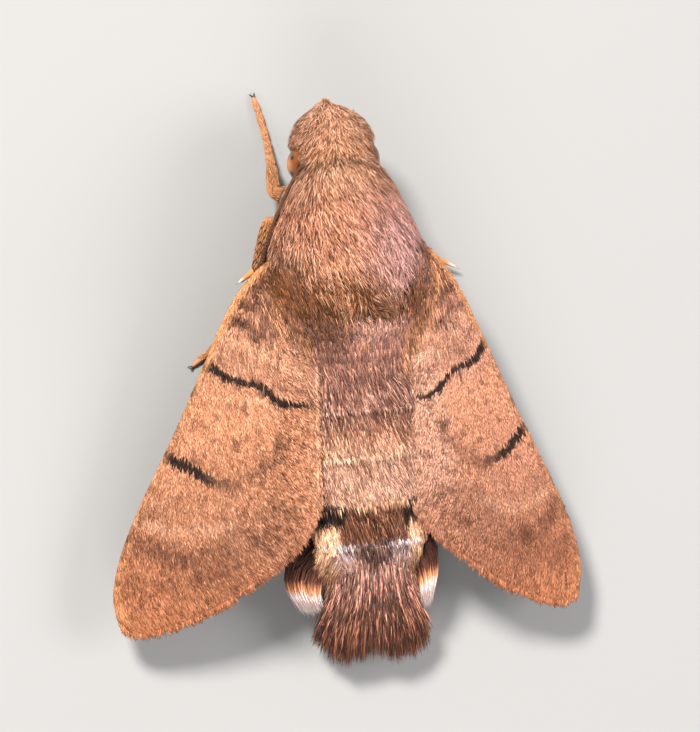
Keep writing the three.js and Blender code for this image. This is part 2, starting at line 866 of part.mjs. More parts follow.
add("head", head(), "coat");
add("thorax", thorax(), "coat");
add("tongue", tongue(), "tongue");

const thoraxSpace = thoraxBody(CLEARANCE + SLOPE_ALLOWANCE);
for (let i = 0; i < 5; i += 1) {
  const ring = i === 0 ? cutBy(abdomenRing(0), thoraxSpace) : abdomenRing(i);
  add(`abdomen_${i + 1}`, ring, i === 4 ? "band" : "abdomen");
}
add("abdomen_6", lastRing(), "abdomen");
add("tail_fan", tailFan(), "fan");

const forePatch = wingPatch(FORE_COSTA, FORE_TERMEN, FORE_INNER);
const hindPatch = wingPatch(HIND_COSTA, HIND_TERMEN, HIND_INNER);
const hindDrop = MEMBRANE + CLEARANCE + SLOPE_ALLOWANCE;
for (const [name, side] of Object.entries(SIDES)) {
  const set = WING_SET[name];
  const foreWing = wing(set, side, forePatch, FORE_VEINS);
  const hindWing = wing(set, side, hindPatch, HIND_VEINS, { drop: hindDrop, steps: 9 });
  add(`fore_wing_${name}`, cutBy(foreWing, thoraxSpace), "fore_wing");
  add(`hind_wing_${name}`, cutBy(hindWing, thoraxSpace), "hind_wing");
  add(`eye_${name}`, eye(side), "eye");
  add(`palp_${name}`, cutBy(palp(side), tongue(CLEARANCE)), "coat");
  add(`antenna_${name}`, antenna(name), "antenna");
}

for (const [name, leg] of Object.entries(LEGS)) {
  add(`${name}_femur`, cutBy(femur(leg), thoraxSpace), "buff");
  add(`${name}_tibia`, cutBy(tibia(leg), femur(leg, CLEARANCE)), "buff");
  add(`${name}_foot`, cutBy(foot(leg), tibia(leg, CLEARANCE)), "buff");
}

export default moth;
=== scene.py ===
"""A hummingbird hawk moth at rest, dressed in its coat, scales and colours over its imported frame."""
import math

import bpy
import numpy as np
from mathutils import Matrix, Vector


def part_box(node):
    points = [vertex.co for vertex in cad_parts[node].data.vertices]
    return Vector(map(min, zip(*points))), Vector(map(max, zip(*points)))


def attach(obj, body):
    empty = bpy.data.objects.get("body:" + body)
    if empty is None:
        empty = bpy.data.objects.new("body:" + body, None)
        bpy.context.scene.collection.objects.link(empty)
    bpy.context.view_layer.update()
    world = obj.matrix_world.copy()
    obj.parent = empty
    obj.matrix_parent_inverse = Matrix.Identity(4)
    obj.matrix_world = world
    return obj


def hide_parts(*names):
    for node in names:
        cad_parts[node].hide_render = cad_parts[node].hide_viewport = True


# Places are in millimetres in the moth's own measure: x to its left, y back from its snout, z up
MM = 0.001
THORAX_FRONT = 4.5
SIDES = {"left": 1, "right": -1}
UP = np.array((0.0, 0.0, 1.0))
PATCH = 0.003  # room for one tuft on the unwrap of the skin that it grows from

# The photo was taken from above, from a little to the moth's left, with the moth tilted in its frame
CAMERA_ROLL = math.radians(13)
CAMERA_TILT = math.radians(6)
CAMERA_DISTANCE = 280
CAMERA_TARGET = (0.08, 14.25, 4.09)
FRAME_WIDTH = 37.04
SENSOR = 36
CAMERA_CLIP = (0.01, 10)

# Cross sections along the body: place, half width, top, bottom, level of the widest line
HEAD = [
    (0.35, 0.5, 5.1, 4.0, 4.55),
    (0.9, 1.4, 5.75, 3.5, 4.7),
    (1.5, 1.95, 6.3, 3.1, 4.8),
    (2.5, 2.35, 6.85, 2.85, 4.95),
    (3.4, 2.5, 7.15, 2.75, 5.0),
    (4.2, 2.62, 7.35, 2.7, 5.05),
]
THORAX = [
    (3.8, 2.52, 7.2, 2.75, 5.0),
    (4.5, 2.8, 7.5, 2.65, 5.05),
    (5.0, 3.02, 7.7, 2.5, 5.1),
    (6.1, 3.43, 8.15, 2.25, 5.2),
    (7.2, 3.84, 8.55, 2.05, 5.3),
    (8.5, 4.15, 8.85, 1.9, 5.4),
    (10.0, 4.3, 8.95, 1.8, 5.5),
    (11.3, 4.1, 8.8, 1.8, 5.6),
    (12.5, 3.4, 8.35, 2.1, 5.7),
    (13.4, 2.2, 7.75, 3.2, 5.9),
]
ABDOMEN = [
    (11.0, 3.2, 6.9, 2.3, 4.3),
    (12.5, 3.6, 7.1, 2.05, 4.3),
    (14.5, 3.75, 7.05, 1.9, 4.3),
    (16.8, 3.7, 6.85, 1.85, 4.2),
    (19.3, 3.6, 6.5, 1.85, 4.05),
    (21.7, 3.42, 6.1, 1.9, 3.9),
    (23.9, 3.1, 5.5, 2.05, 3.75),
    (25.4, 2.3, 4.6, 2.2, 3.3),
    (26.4, 2.0, 3.7, 2.2, 2.9),
    (27.4, 1.7, 3.1, 2.2, 2.6),
]
# First and last place of each part, and the length over which each of its ends is rounded off
BODY_PARTS = [(HEAD, 0.1, 0.6, 5.2, 0.9), (THORAX, 3.3, 0.7, 13.9, 1.1), (ABDOMEN, 10.4, 0.6, 27.7, 1.2)]
BODY_BLEND = 0.09  # how softly one part of the body passes into the next
BODY_LENGTH = 30.0
SKIN_ENDS = (0.12, 27.66)
SKIN_STEPS = (260, 144)  # rings along it, and points round each
# Level of the line that the body's outline is measured from
CENTRE_LINE = [
    (0, 4.55), (2, 4.85), (6, 5.1), (9, 5.1), (12, 4.6), (16, 4.3), (20, 4.05), (24, 3.7), (27.8, 2.7),
]
# How deep the skin lies under the outline of the coat
SKIN_DEPTH = [
    (0, 0.12), (1.0, 0.25), (2.5, 0.34), (5, 0.42), (10, 0.45), (13.5, 0.35), (15, 0.22), (28, 0.2),
]
RING_ENDS = [11.3, 14.6, 16.8, 19.3, 21.7, 23.9, 26.4]
RING_STEP = 0.16  # how far the hind edge of a ring stands out over the next one
FLOW_SOFTNESS = 0.4  # how softly the coat passes from the thorax to the wing roots
LOCK_SIZE = 0.11  # how wide a lock of hair is that shares one shade
LOCK_CONTRAST = 2.4
TOP_STRAY = 0.16  # how far a tuft may stand out past the outline of the body
SHOULDER = 0.36  # how much fuller the coat is on both sides of the abdomen's back

# The eye's middle and radius, and how far from the moth's middle it is cut off
EYE = {"x": 1.45, "y": 3.42, "z": 4.9, "radius": 1.05, "inner": 1.02}
EYE_HOLLOW = 0.8  # how far the coat draws back round an eye
FACET = 0.035
EYE_STEPS = (48, 64)
# Dark spots of the eye: the way from its middle, and their size
EYE_SPOTS = [((0.5, 0.2, 0.84), 0.2), ((0.8, -0.35, 0.45), 0.12), ((0.85, 0.4, 0.25), 0.11)]
PALP_PATH = [(0.6, 2.7, 3.1), (0.68, 1.9, 3.15), (0.58, 1.05, 3.6), (0.32, 0.55, 4.15), (0.09, 0.3, 4.45)]
PALP_THICK = 0.34
PALP_STEPS = (26, 20)
PALP_PROFILE = [(0, 0.6), (0.3, 1), (0.6, 0.95), (0.85, 0.62), (1, 0.25)]
TONGUE = {
    "y": 2.95, "z": 2.3, "radius": 0.68, "turns": 2.4, "thick": 0.13, "rings": 70, "steps": 220, "sides": 12,
}
TONGUE_ROOT = [(0, 2.75, 3.3), (0, 2.78, 3.12)]
ANTENNAE = {
    "left": [
        (1.35, 2.5, 6.0), (1.9, 3.4, 5.95), (2.62, 4.4, 5.95), (3.45, 5.94, 5.55), (3.92, 7.14, 4.95),
        (4.15, 7.95, 4.4), (4.4, 9.0, 4.0), (4.7, 10.3, 3.6), (5.0, 11.7, 3.3), (5.0, 12.3, 3.1),
    ],
    "right": [
        (-1.35, 2.5, 6.0), (-1.9, 3.4, 5.9), (-2.6, 4.6, 5.4), (-3.1, 5.9, 4.7), (-3.6, 7.2, 4.35),
        (-4.1, 8.3, 4.1), (-4.6, 9.4, 3.85), (-5.0, 10.6, 3.55), (-5.2, 11.8, 3.3), (-5.1, 12.4, 3.1),
    ],
}

# Radius of a feeler along its length, and its number of rings
ANTENNA_PROFILE = [
    (0, 0.2), (0.04, 0.2), (0.08, 0.09), (0.4, 0.1), (0.7, 0.18), (0.85, 0.26), (0.94, 0.18), (1, 0.03),
]
ANTENNA_RINGS = 58
ANTENNA_SIDES = 16
ANTENNA_STEPS = 300

# Outline of each wing: a is the distance out from its root, b the distance back from its front line
FORE_COSTA = [
    (0.3, 0.4), (1.6, -0.3), (3.5, -0.82), (7, -1.02), (11, -1.18), (14.5, -1.45), (17.5, -1.52),
    (20, -1.15), (21.4, -0.35),
]
FORE_TERMEN = [
    (21.4, -0.35), (21.7, 0.5), (21.0, 1.75), (19.4, 3.5), (17.1, 5.15), (14.8, 6.4), (13.0, 6.95),
]
FORE_INNER = [(1.5, 2.35), (4.2, 3.55), (7.1, 4.8), (10.2, 6.12), (12.0, 6.85), (13.0, 6.95)]
HIND_COSTA = [(3.0, 0.5), (6.5, 0.6), (10, 1.2), (13.2, 2.5)]
HIND_TERMEN = [(13.2, 2.5), (13.3, 3.4), (12.3, 4.2), (10.8, 4.3)]
HIND_INNER = [(3.3, 1.0), (5.5, 1.7), (8.1, 2.85), (10.8, 4.3)]
# Where the wings of each side are rooted, how far they are raised, turned back in degrees and made broader
WING_SET = {
    "left": {"x": 3.9, "y": 7.5, "lift": 0.05, "sweep": 25.9, "spread": 1.03},
    "right": {"x": 4.15, "y": 7.5, "lift": 0.15, "sweep": 19.3, "spread": 0.96},
}
HIND_DROP = 1.0  # how far the hind wing lies under the fore wing
MEMBRANE = 0.16
FORE_TOP = 0.22  # height of the membrane's upper face over the wing's middle
HIND_EDGE_BEND = 0.95  # how far the hind edge bends down to the abdomen
# Breadth of the fore wing at each distance from its root
FORE_CHORD = [(0, 2.0), (2, 3.2), (6, 5.8), (10, 7.6), (13, 8.3), (17, 6.8), (20, 4.2), (21.7, 1.5)]
OUTLINE_STEPS = 240
WING_UNWRAP = 0.48  # share of the unwrap's breadth for each face of a wing
# Each vein: share of the way back over the wing, and the share of its length where it begins
FORE_VEINS = [
    (0.05, 0), (0.15, 0), (0.27, 0.4), (0.39, 0.45), (0.52, 0.45), (0.64, 0.1), (0.77, 0.25), (0.9, 0),
]
HIND_VEINS = [(0.1, 0), (0.3, 0.2), (0.5, 0.3), (0.7, 0.15), (0.88, 0)]
VEIN_RISE = 0.06
VEIN_HALF = 0.09

# Legs: joints from the hip to the claws, and the spurs at the lower end of the shin
LEGS = {
    "fore_left": {
        "hip": (1.25, 5, 2.9), "knee": (2.85, 4.75, 2.3), "ankle": (2.45, 3.3, 0.75),
        "foot": [(2.45, 1.8, 0.22), (2.7, 0.4, 0.17), (2.92, -0.6, 0.15)], "spurs": [],
    },
    "fore_right": {
        "hip": (-1.25, 5, 2.9), "knee": (-2.75, 4.9, 2.3), "ankle": (-2.3, 3.9, 0.75),
        "foot": [(-2.15, 2.7, 0.22), (-2.2, 1.7, 0.17), (-2.35, 0.75, 0.15)], "spurs": [],
    },
    "mid_left": {
        "hip": (1.6, 7.6, 2.3), "knee": (3.25, 6.1, 2.45), "ankle": (3.85, 8.85, 0.8),
        "foot": [(4.8, 10.6, 0.22), (6.3, 12.3, 0.17), (7.75, 13.4, 0.15)], "spurs": [(5.0, 9.3, 0.5)],
    },
    "mid_right": {
        "hip": (-1.6, 7.6, 2.3), "knee": (-3.6, 6.45, 2.4), "ankle": (-5.45, 8.8, 0.8),
        "foot": [(-6.1, 10.4, 0.22), (-6.7, 12, 0.17), (-7.4, 13.4, 0.15)], "spurs": [(-7.4, 9.7, 0.5)],
    },
    "hind_left": {
        "hip": (1.8, 10.2, 2.1), "knee": (4.3, 10.3, 2.5), "ankle": (5.3, 14.2, 0.85),
        "foot": [(5.9, 16, 0.22), (6.6, 17.8, 0.17), (7.3, 19.3, 0.15)], "spurs": [(6.1, 15, 0.5)],
    },
    "hind_right": {
        "hip": (-1.8, 10.2, 2.1), "knee": (-4.2, 10.5, 2.5), "ankle": (-5.1, 14.4, 0.85),
        "foot": [(-5.6, 16.2, 0.22), (-6.1, 18, 0.17), (-6.7, 19.6, 0.15)], "spurs": [(-5.9, 15.2, 0.5)],
    },
}
# Radius of thigh and shin, then the bend, the number of rings and the profile of each, and those of the foot
LEG_THICK = {"fore": (0.42, 0.38), "mid": (0.45, 0.45), "hind": (0.45, 0.45)}
LEG_SEGMENTS = [
    (0.12, 30, [(0, 1.0), (0.4, 1.1), (0.85, 0.8), (1, 0.5)]),
    (0.14, 34, [(0, 0.5), (0.12, 0.8), (0.55, 0.86), (0.9, 0.72), (1, 0.5)]),
]
FOOT_THICK = 0.2
FOOT_RINGS = 61
FOOT_PROFILE = [(0, 1), (0.4, 0.85), (0.93, 0.72), (1, 0.4)]
# Spurs at one place: how far aside, how long and how wide each of the two is
SPUR_PAIR = [((0, 0, 0), 1.0, 0.4), ((0.1, 0.18, -0.12), 0.72, 0.26)]
HORN_SHAPE = (1.0, 0.95, 0.8, 0.6, 0.35)

# Tufts on the flanks: where the outer and inner vanes bulge to and end, and how far back they reach
FLANK_TUFT = {
    "left": {"bulge": (5.35, 3.4), "tip": (3.55, 2.6), "reach": 27.3},
    "right": {"bulge": (4.2, 3.1), "tip": (3.3, 2.7), "reach": 27.85},
}
FLANK_ROOT = (3.4, 2.0)  # how far from the moth's middle the outer and inner vanes begin
FLANK_LEVELS = [(0, 4.3, 2.9), (0.5, 3.4, 2.0), (1, 2.5, 1.1)]  # of root and tip, from the highest vanes down
VANE_SHAPE = (0.75, 1.0, 1.0, 0.62)
# How far from the moth's middle the upper and lower golden strands over each flank tuft end
SKIRT = {"left": (2.5, 3.45), "right": (2.35, 2.8)}
# Level, half width and droop of the edges of the upper face of the tail, along the body
TAIL_LEVEL = [(23.8, 5.42), (25, 4.86), (26, 4.36), (27, 3.8), (28, 3.25), (29, 2.75), (30.2, 2.3)]
TAIL_HALF = [(23.8, 2.75), (25, 2.62), (26, 2.62), (27, 2.82), (28, 3.08), (29, 3.2), (30.2, 3.15)]
TAIL_DROOP = [(23.8, 1.35), (26, 1.1), (28, 0.7), (30.2, 0.5)]
TAIL_WAIST = 0.14  # how much closer together the scales of the tail are at their roots
TAIL_SHIFT = [(25, 0), (28, -0.1)]  # how far the fan lies to the moth's left
RUMP_ROOTS = (23.95, 27.45)  # where the first and last scales over the root of the fan begin
FAN_ROOTS = (25.6, 28.2)
# Where the fan ends, for places across it
FAN_END = [
    (-3.4, 29.4), (-2.5, 30.1), (-1.2, 30.1), (-0.34, 29.7), (0.6, 29.9), (1.45, 30.05), (2.2, 29.65),
    (2.9, 28.95), (3.2, 28.4),
]

# The lights are this much stronger and the stored colours as much darker, so that hair can be bright
LIGHT = 1.5

# Colours, in the 0 to 255 measure of a screen
BACK = [
    (0.2, 212, 154, 120), (2.0, 212, 152, 116), (3.0, 206, 144, 106), (3.6, 196, 140, 104),
    (4.6, 214, 155, 122), (6.0, 220, 150, 114), (8.0, 216, 150, 118), (9.4, 196, 134, 98),
    (10.2, 160, 102, 66), (11.2, 156, 100, 64), (12.0, 182, 128, 102), (13.0, 212, 156, 140),
    (13.8, 188, 132, 114), (15.0, 176, 121, 102), (16.7, 192, 136, 116), (16.9, 176, 120, 96),
    (17.6, 198, 136, 108), (18.3, 240, 176, 142), (19.2, 252, 196, 160), (19.4, 242, 180, 152),
    (21.1, 250, 192, 162), (21.66, 228, 170, 138), (21.74, 92, 54, 36), (22.2, 140, 86, 56),
    (22.9, 136, 84, 56), (23.8, 118, 72, 52), (24.0, 214, 160, 146), (24.6, 206, 152, 134),
    (26.0, 186, 134, 118), (27.0, 158, 108, 90), (28.0, 130, 85, 67), (29.0, 110, 69, 52),
    (30.2, 95, 56, 40),
]
BELLY = [
    (0.2, 228, 210, 188), (6.0, 234, 222, 204), (11.0, 216, 196, 172), (14.0, 176, 142, 116),
    (21.7, 150, 114, 92), (24.0, 116, 84, 66), (28.0, 92, 62, 48),
]
# Places of the folds between the rings, and how dark the painted shade in each is
FOLDS = [(14.6, 0.35), (16.8, 0.6), (19.36, 0.3), (21.78, 0.5)]
FOLD_SHADE = (84, 54, 42)
# Partly the thorax's own pink, partly a painted sheen of the light on its right side
PINK_AND_SHEEN = (242, 186, 182)
OLIVE = (94, 48, 8)
SPOT_ORANGE = (226, 160, 104)
COLLAR = (120, 80, 56)
FLANK_TAN = (196, 124, 74)
FLANK_PATCHES = [(14.9, 16.6), (17.1, 19.1), (19.6, 21.5)]
PALE_EDGE = (255, 222, 220)
RUMP_DARK = (66, 38, 34)
# The olive hind corners of the thorax, and how far their colour reaches
LEFT_CORNER = [(4.7, 8.2), (4.1, 9.6), (3.5, 11.0), (2.5, 12.2), (1.6, 13.0)]
RIGHT_CORNER = [(-4.3, 8.6), (-3.7, 10.0), (-3.1, 11.3), (-2.8, 11.9)]
CORNERS = [(LEFT_CORNER, 1.75), (RIGHT_CORNER, 1.4)]
CREAM = (252, 198, 160)
GOLD = (166, 114, 72)
# Pale tips of the brightest tufts: a painted highlight
HAIR_HIGHLIGHT = (255, 222, 196)
BLACK = (44, 30, 23)
WHITE = (255, 228, 220)
RUST = (132, 74, 48)
FLANK_BANDS = [(40, 23, 18), (74, 42, 33), (98, 58, 45), (222, 148, 100), WHITE, WHITE]
LEG_BUFF = (180, 122, 80)
LEG_PALE = (192, 136, 94)
SPUR_ROOT = (222, 142, 84)
SPUR_TIP = (246, 220, 196)
CLAW_COLOURS = [(104, 66, 40), (40, 24, 16)]
WING_GROUND = [
    (0, 200, 136, 104), (2.5, 210, 144, 110), (5, 234, 166, 130), (7, 234, 166, 128), (9, 234, 162, 120),
    (12, 226, 156, 116), (15, 210, 144, 108), (17, 190, 124, 88), (19.5, 190, 120, 82), (21.7, 190, 120, 78),
]
LINE_BLACK = (36, 22, 17)
MARK_BROWN = (108, 64, 46)
MARK_DARK = (84, 46, 34)
WING_PALE = (246, 188, 152)
RIGHT_LIGHT_TINT = (1.06, 1.09, 1.22)  # painted light: the right wing is tinted a little pinker than the left, for the light from the right
RIGHT_FORWARD = 0.55  # how much nearer to its root the right wing's marks meet its front edge
# Painted light: a pink blush over the inner half of the right wing, for the light from the right
RIGHT_LIGHT_BLUSH = (248, 196, 172)
WING_ROOT = (212, 148, 108)
COSTA_RIM = (240, 168, 112)
WING_RIM = (164, 98, 60)
HIND_COPPER = (214, 124, 52)
HIND_BROWN = (120, 70, 44)
EYE_COLOURS = {
    "ground": (112, 60, 22),
    "top": (104, 56, 24),
    "side": (222, 144, 72),
    "spot": (22, 12, 8),
    "below": (84, 50, 26),
}
PALP_BUFF = (188, 130, 98)
PALP_CREAM = (240, 228, 210)
ANTENNA_COLOURS = [(88, 56, 38), (70, 48, 36), (204, 166, 120)]  # shaft, dark end, pale underside
TONGUE_BROWN = (96, 66, 44)
WING_BELOW = (200, 120, 66)
FRINGE = (138, 74, 42)

# The two thin dark lines across each fore wing
WING_LINES = {
    "left": {
        "inner": [
            (6.93, -1.2), (6.95, -0.6), (7.21, 0.14), (7.12, 0.99), (7.1, 1.82), (7.49, 2.45), (7.6, 2.88),
            (7.38, 3.79), (7.08, 4.33),
        ],
        "outer": [(12.05, -1.4), (12.18, -0.5), (12.33, 0.31), (12.6, 0.95), (12.6, 1.4), (12.45, 1.87)],
    },
    "right": {
        "inner": [
            (7.21, -1.2), (7.25, -0.6), (7.37, 0.06), (7.17, 1.45), (7.43, 2.33), (7.81, 3.04), (7.76, 3.95),
            (7.32, 4.95),
        ],
        "outer": [(12.4, -1.7), (12.36, -0.77), (12.42, 0.17), (12.5, 1.01), (12.45, 1.88)],
    },
}
LINE_SIZES = [("inner", 0.15, 5.4), ("outer", 0.17, 2.5)]  # half width, and how far back it fades
# Marks on the fore wing: colour, half width, strength, then the line itself as (a, b)
WING_SHADES = [
    (MARK_DARK, 0.34, 0.95, [(2.1, -0.6), (2.3, 0.1), (2.6, 0.9)]),
    (MARK_DARK, 0.3, 0.95, [(3.1, -0.8), (3.2, 0.0), (3.0, 0.8)]),
    (MARK_DARK, 0.3, 0.95, [(4.3, -0.6), (4.2, 0.2), (4.6, 0.7), (4.3, 1.3)]),
    (MARK_BROWN, 0.45, 0.36, [(6.0, -0.7), (6.1, 0.6), (6.4, 1.9), (6.7, 3.2), (6.5, 4.2)]),
    (MARK_BROWN, 0.38, 0.6, [(12.5, 2.0), (11.9, 2.6), (11.2, 3.1), (10.3, 3.6), (9.4, 3.6)]),
    (MARK_BROWN, 0.5, 0.42, [(14.6, 2.7), (13.6, 3.5), (13.0, 4.4), (13.1, 5.4)]),
    (MARK_BROWN, 0.35, 0.3, [(15.1, -1.3), (15.2, -0.7)]),
    (MARK_BROWN, 0.45, 0.65, [(16.8, -1.3), (16.9, -0.4), (17.3, 0.7), (17.0, 1.3)]),
    (MARK_BROWN, 0.5, 0.4, [(16.8, 1.5), (15.7, 2.7), (14.8, 3.7), (14.2, 5.0)]),
    (MARK_BROWN, 0.45, 0.38, [(19.0, -1.0), (18.9, 0.3), (18.0, 1.9), (16.4, 3.4), (14.9, 4.7)]),
    (WING_PALE, 0.3, 0.45, [(15.9, -1.3), (15.8, 0.2), (15.3, 1.8), (14.2, 2.9)]),
    (WING_PALE, 0.22, 0.3, [(5.2, -0.7), (5.3, 0.6), (5.7, 1.8), (5.8, 3.0)]),
    (BLACK, 0.07, 0.7, [(9.28, 0.33), (9.32, 0.38)]),
]

# How many tufts, scales or vanes the pieces of the coat have
HEAD_TUFTS = 18500
THORAX_TUFTS = 15800
ABDOMEN_TUFTS = 10800
CAPE_TUFTS = 5600
FLANK_VANES = 1200
RUMP_VANES = 2300
FAN_VANES = 3300
SKIRT_VANES = 420
WING_SCALES = 20000
HIND_SCALES = 1600
FRINGE_SCALES = 1500
INNER_HAIRS = 1700
PALP_TUFTS = 2000
LEG_TUFTS = 1300
FORE_SCALE = (0.36, 0.085)  # length and width
HIND_SCALE = (0.36, 0.12)

# The hair of the body: length, lift and width along it, its height over its width, and how its shade varies
HEAD_HAIR = {
    "length": [(0.1, 0.36), (0.8, 0.5), (2, 0.58), (3.2, 0.66), (4.4, 0.9)],
    "lift": [(0.1, 0.2), (1, 0.36), (3, 0.46), (4.4, 0.48)],
    "width": [(0.1, 0.04), (2, 0.042), (4.4, 0.048)],
    "flat": 0.7,
    "spread": 0.48,
    "slot": "coat",
}
THORAX_HAIR = {
    "length": [(4, 0.95), (6, 0.98), (10, 1.08), (12, 1.3), (13.7, 1.35)],
    "lift": [(4, 0.52), (8, 0.54), (12, 0.5), (13.7, 0.35)],
    "width": [(4, 0.047), (8, 0.052), (13.7, 0.058)],
    "flat": 0.7,
    "spread": 0.48,
    "slot": "coat",
}
ABDOMEN_HAIR = {
    "length": [(13, 1.2), (16, 1.0), (21.5, 0.95), (24, 1.3), (26, 1.6)],
    "lift": [(13, 0.26), (16, 0.22), (24, 0.2), (26, 0.2)],
    "width": [(13, 0.06), (17, 0.07), (24, 0.075), (26, 0.085)],
    "flat": 0.5,
    "spread": 0.44,
    "slot": "abdomen_scales",
}
# How tufts vary: the measure, its least and its greatest share, and its factor for a wisp
HAIR_RANGES = [("length", 0.65, 1.3, 1.3), ("lift", 0.15, 1.2, 1.25), ("width", 0.7, 1.35, 0.6)]
WISP_SHARE = 0.08
CAPE_AREA = ((-5.5, 5.5), (8.3, 14.2))  # where the long hair may grow, from right to left and front to back
PARTING = 11.2  # place of the parting at the hind end of the thorax
# Flat scales along the rings: layers, scales in each, place, length, width, how far past the edge, colour
RING_TEETH = [
    (1, 170, 14.6, 0.4, 0.1, 0.06, (172, 118, 98)),
    (1, 170, 16.8, 0.45, 0.1, 0.08, (178, 124, 104)),
    (1, 170, 19.3, 0.6, 0.1, 0.14, (248, 194, 164)),
    (1, 116, 21.7, 0.8, 0.11, 0.5, (236, 174, 130)),
    (2, 170, 23.9, 0.5, 0.11, 0.2, (255, 226, 222)),
]
TEETH_DARK = (78, 52, 46)
TEETH_ORANGE = (224, 164, 134)
# Solids that the one skin of the body stands for
FLESH = ["head", "thorax", *(f"abdomen_{i}" for i in range(1, 7))]

# Finishes: roughness, strength and size of the grain, height of the relief, sheen
FINISHES = {
    "skin": (0.75, 0.25, 0.12, 0.5, 0.0),
    "coat": (0.45, 0.12, 0.2, 0.1, 0.03),
    "abdomen_scales": (0.42, 0.12, 0.2, 0.1, 0.03),
    "tail_scales": (0.48, 0.15, 0.25, 0.15, 0.02),
    "wing_skin": (0.65, 0.16, 0.09, 0.4, 0.0),
    "wing_scales": (0.5, 0.1, 0.15, 0.1, 0.02),
    "eye": (0.22, 0.12, 0.3, 0.05, 0.0),
    "antenna": (0.5, 0.2, 0.08, 0.5, 0.0),
    "leg_scales": (0.5, 0.1, 0.1, 0.1, 0.03),
    "tongue": (0.35, 0.15, 0.08, 0.3, 0.0),
}
FLOOR_SIZE = 1.2
FLOOR_ROUGHNESS = 0.9
FLOOR_GREY = (0.215, 0.215, 0.21, 1)
SKY_COLOUR = (0.92, 0.95, 1.0, 1)
SKY_POWER = 0.32
# Lights: name, place and breadth in metres, power, colour
LIGHTS = [
    ("key", (0.2, -0.27, 0.38), 0.12, 4.9, (1.0, 0.97, 0.93)),
    ("fill", (-0.42, 0.02, 0.36), 0.3, 2.1, (1.0, 0.95, 0.97)),
    ("back", (0.12, 0.45, 0.3), 0.4, 2.0, (1.0, 0.98, 0.96)),
]


# Numbers that look random and are the same on every run
def lattice(cells, seed):
    """A steady number from 0 to 1 for each cell of whole numbers."""
    mixed = cells[..., 0] * 374761393 + cells[..., 1] * 668265263 + cells[..., 2] * 1440662683
    mixed = (mixed + seed * 1274126177) & 0xFFFFFFFF
    mixed = ((mixed ^ (mixed >> 13)) * 1274126177) & 0xFFFFFFFF
    return ((mixed ^ (mixed >> 16)) & 0xFFFFFF) / 0xFFFFFF


def noise(points, size, seed):
    """Smooth noise from -1 to 1 with lumps of the given size."""
    scaled = np.asarray(points, float) / size
    cells = np.floor(scaled).astype(np.int64)
    part = scaled - cells
    part = part * part * (3 - 2 * part)
    total = 0
    for corner in np.ndindex(2, 2, 2):
        weight = np.prod(np.where(corner, part, 1 - part), axis=-1)
        total = total + weight * lattice(cells + np.array(corner), seed)
    return total * 2 - 1


def mottle(points, size, seed):
    """Noise at three sizes at once."""
    return (
        0.55 * noise(points, size, seed)
        + 0.3 * noise(points, size / 2.3, seed + 1)
        + 0.15 * noise(points, size / 5.1, seed + 2)
    )


def spread_pairs(count, seed):
    """Pairs of numbers from 0 to 1 that fill a square evenly."""
    index = np.arange(1, count + 1)
    jitter = np.random.default_rng(seed).normal(0, 0.25 / math.sqrt(count), (2, count))
    first = (0.5 + index * 0.7548776662466927 + jitter[0]) % 1
    second = (0.5 + index * 0.5698402909980532 + jitter[1]) % 1
    return first, second


# Curves and colours
def curve(table, at):
    """Values of a smooth curve through the rows of a table, whose first column is the place."""
    table = np.asarray(table, float)
    knots, values = table[:, 0], table[:, 1:]
    numbers = np.arange(len(knots))
    before = np.maximum(numbers - 1, 0)
    after = np.minimum(numbers + 1, len(knots) - 1)
    slopes = (values[after] - values[before]) / (knots[after] - knots[before])[:, None]
    place = np.clip(at, knots[0], knots[-1])
    i = np.clip(np.searchsorted(knots, place, side="right") - 1, 0, len(knots) - 2)
    span = (knots[i + 1] - knots[i])[..., None]
    t = (place - knots[i])[..., None] / span
    lift = t * t * (3 - 2 * t)
    leaving = slopes[i] * span * t * (1 - t) ** 2
    arriving = slopes[i + 1] * span * t * t * (1 - t)
    return values[i] + (values[i + 1] - values[i]) * lift + leaving - arriving


def straight(table, at):
    """Values read off straight lines through the rows of a table."""
    table = np.asarray(table, float)
    return np.stack([np.interp(at, table[:, 0], column) for column in table[:, 1:].T], axis=-1)


def linear(colour):
    """Screen colours from 0 to 255 as amounts of light."""
    value = np.clip(np.asarray(colour, float) / 255, 0, 1)
    return np.where(value <= 0.04045, value / 12.92, ((value + 0.055) / 1.055) ** 2.4)


def ramp(value, low, high):
    """A smooth step from 0 at low to 1 at high."""
    t = np.clip((value - low) / (high - low), 0, 1)
    return t * t * (3 - 2 * t)


def band(value, start, full, fading, gone):
    """A smooth hill that rises over the first two places and falls over the last two."""
    return ramp(value, start, full) * (1 - ramp(value, fading, gone))


def dip(value, place, width):
    """A soft mark with a value of 1 at one place, which fades out to both sides."""
    return np.exp(-(((value - place) / width) ** 2))


def blend(colour, other, amount):
    """Moves each colour towards another, given as a screen colour."""
    return colour + (linear(other) - colour) * np.asarray(amount)[..., None]


def within_range(colour):
    """Dims a colour that is brighter than the brightest that can be stored, and keeps its hue."""
    return colour / np.maximum(colour.max(axis=-1, keepdims=True) / LIGHT, 1)


def line_distance(points, line):
    """Distance from each point of a plane to the nearest part of a line."""
    points = np.asarray(points, float)
    best = np.full(points.shape[:-1], 1e9)
    for start, end in zip(line[:-1], line[1:]):
        start, end = np.array(start, float), np.array(end, float)
        way = end - start
        share = np.clip(((points - start) @ way) / (way @ way), 0, 1)
        best = np.minimum(best, np.linalg.norm(points - start - share[..., None] * way, axis=-1))
    return best


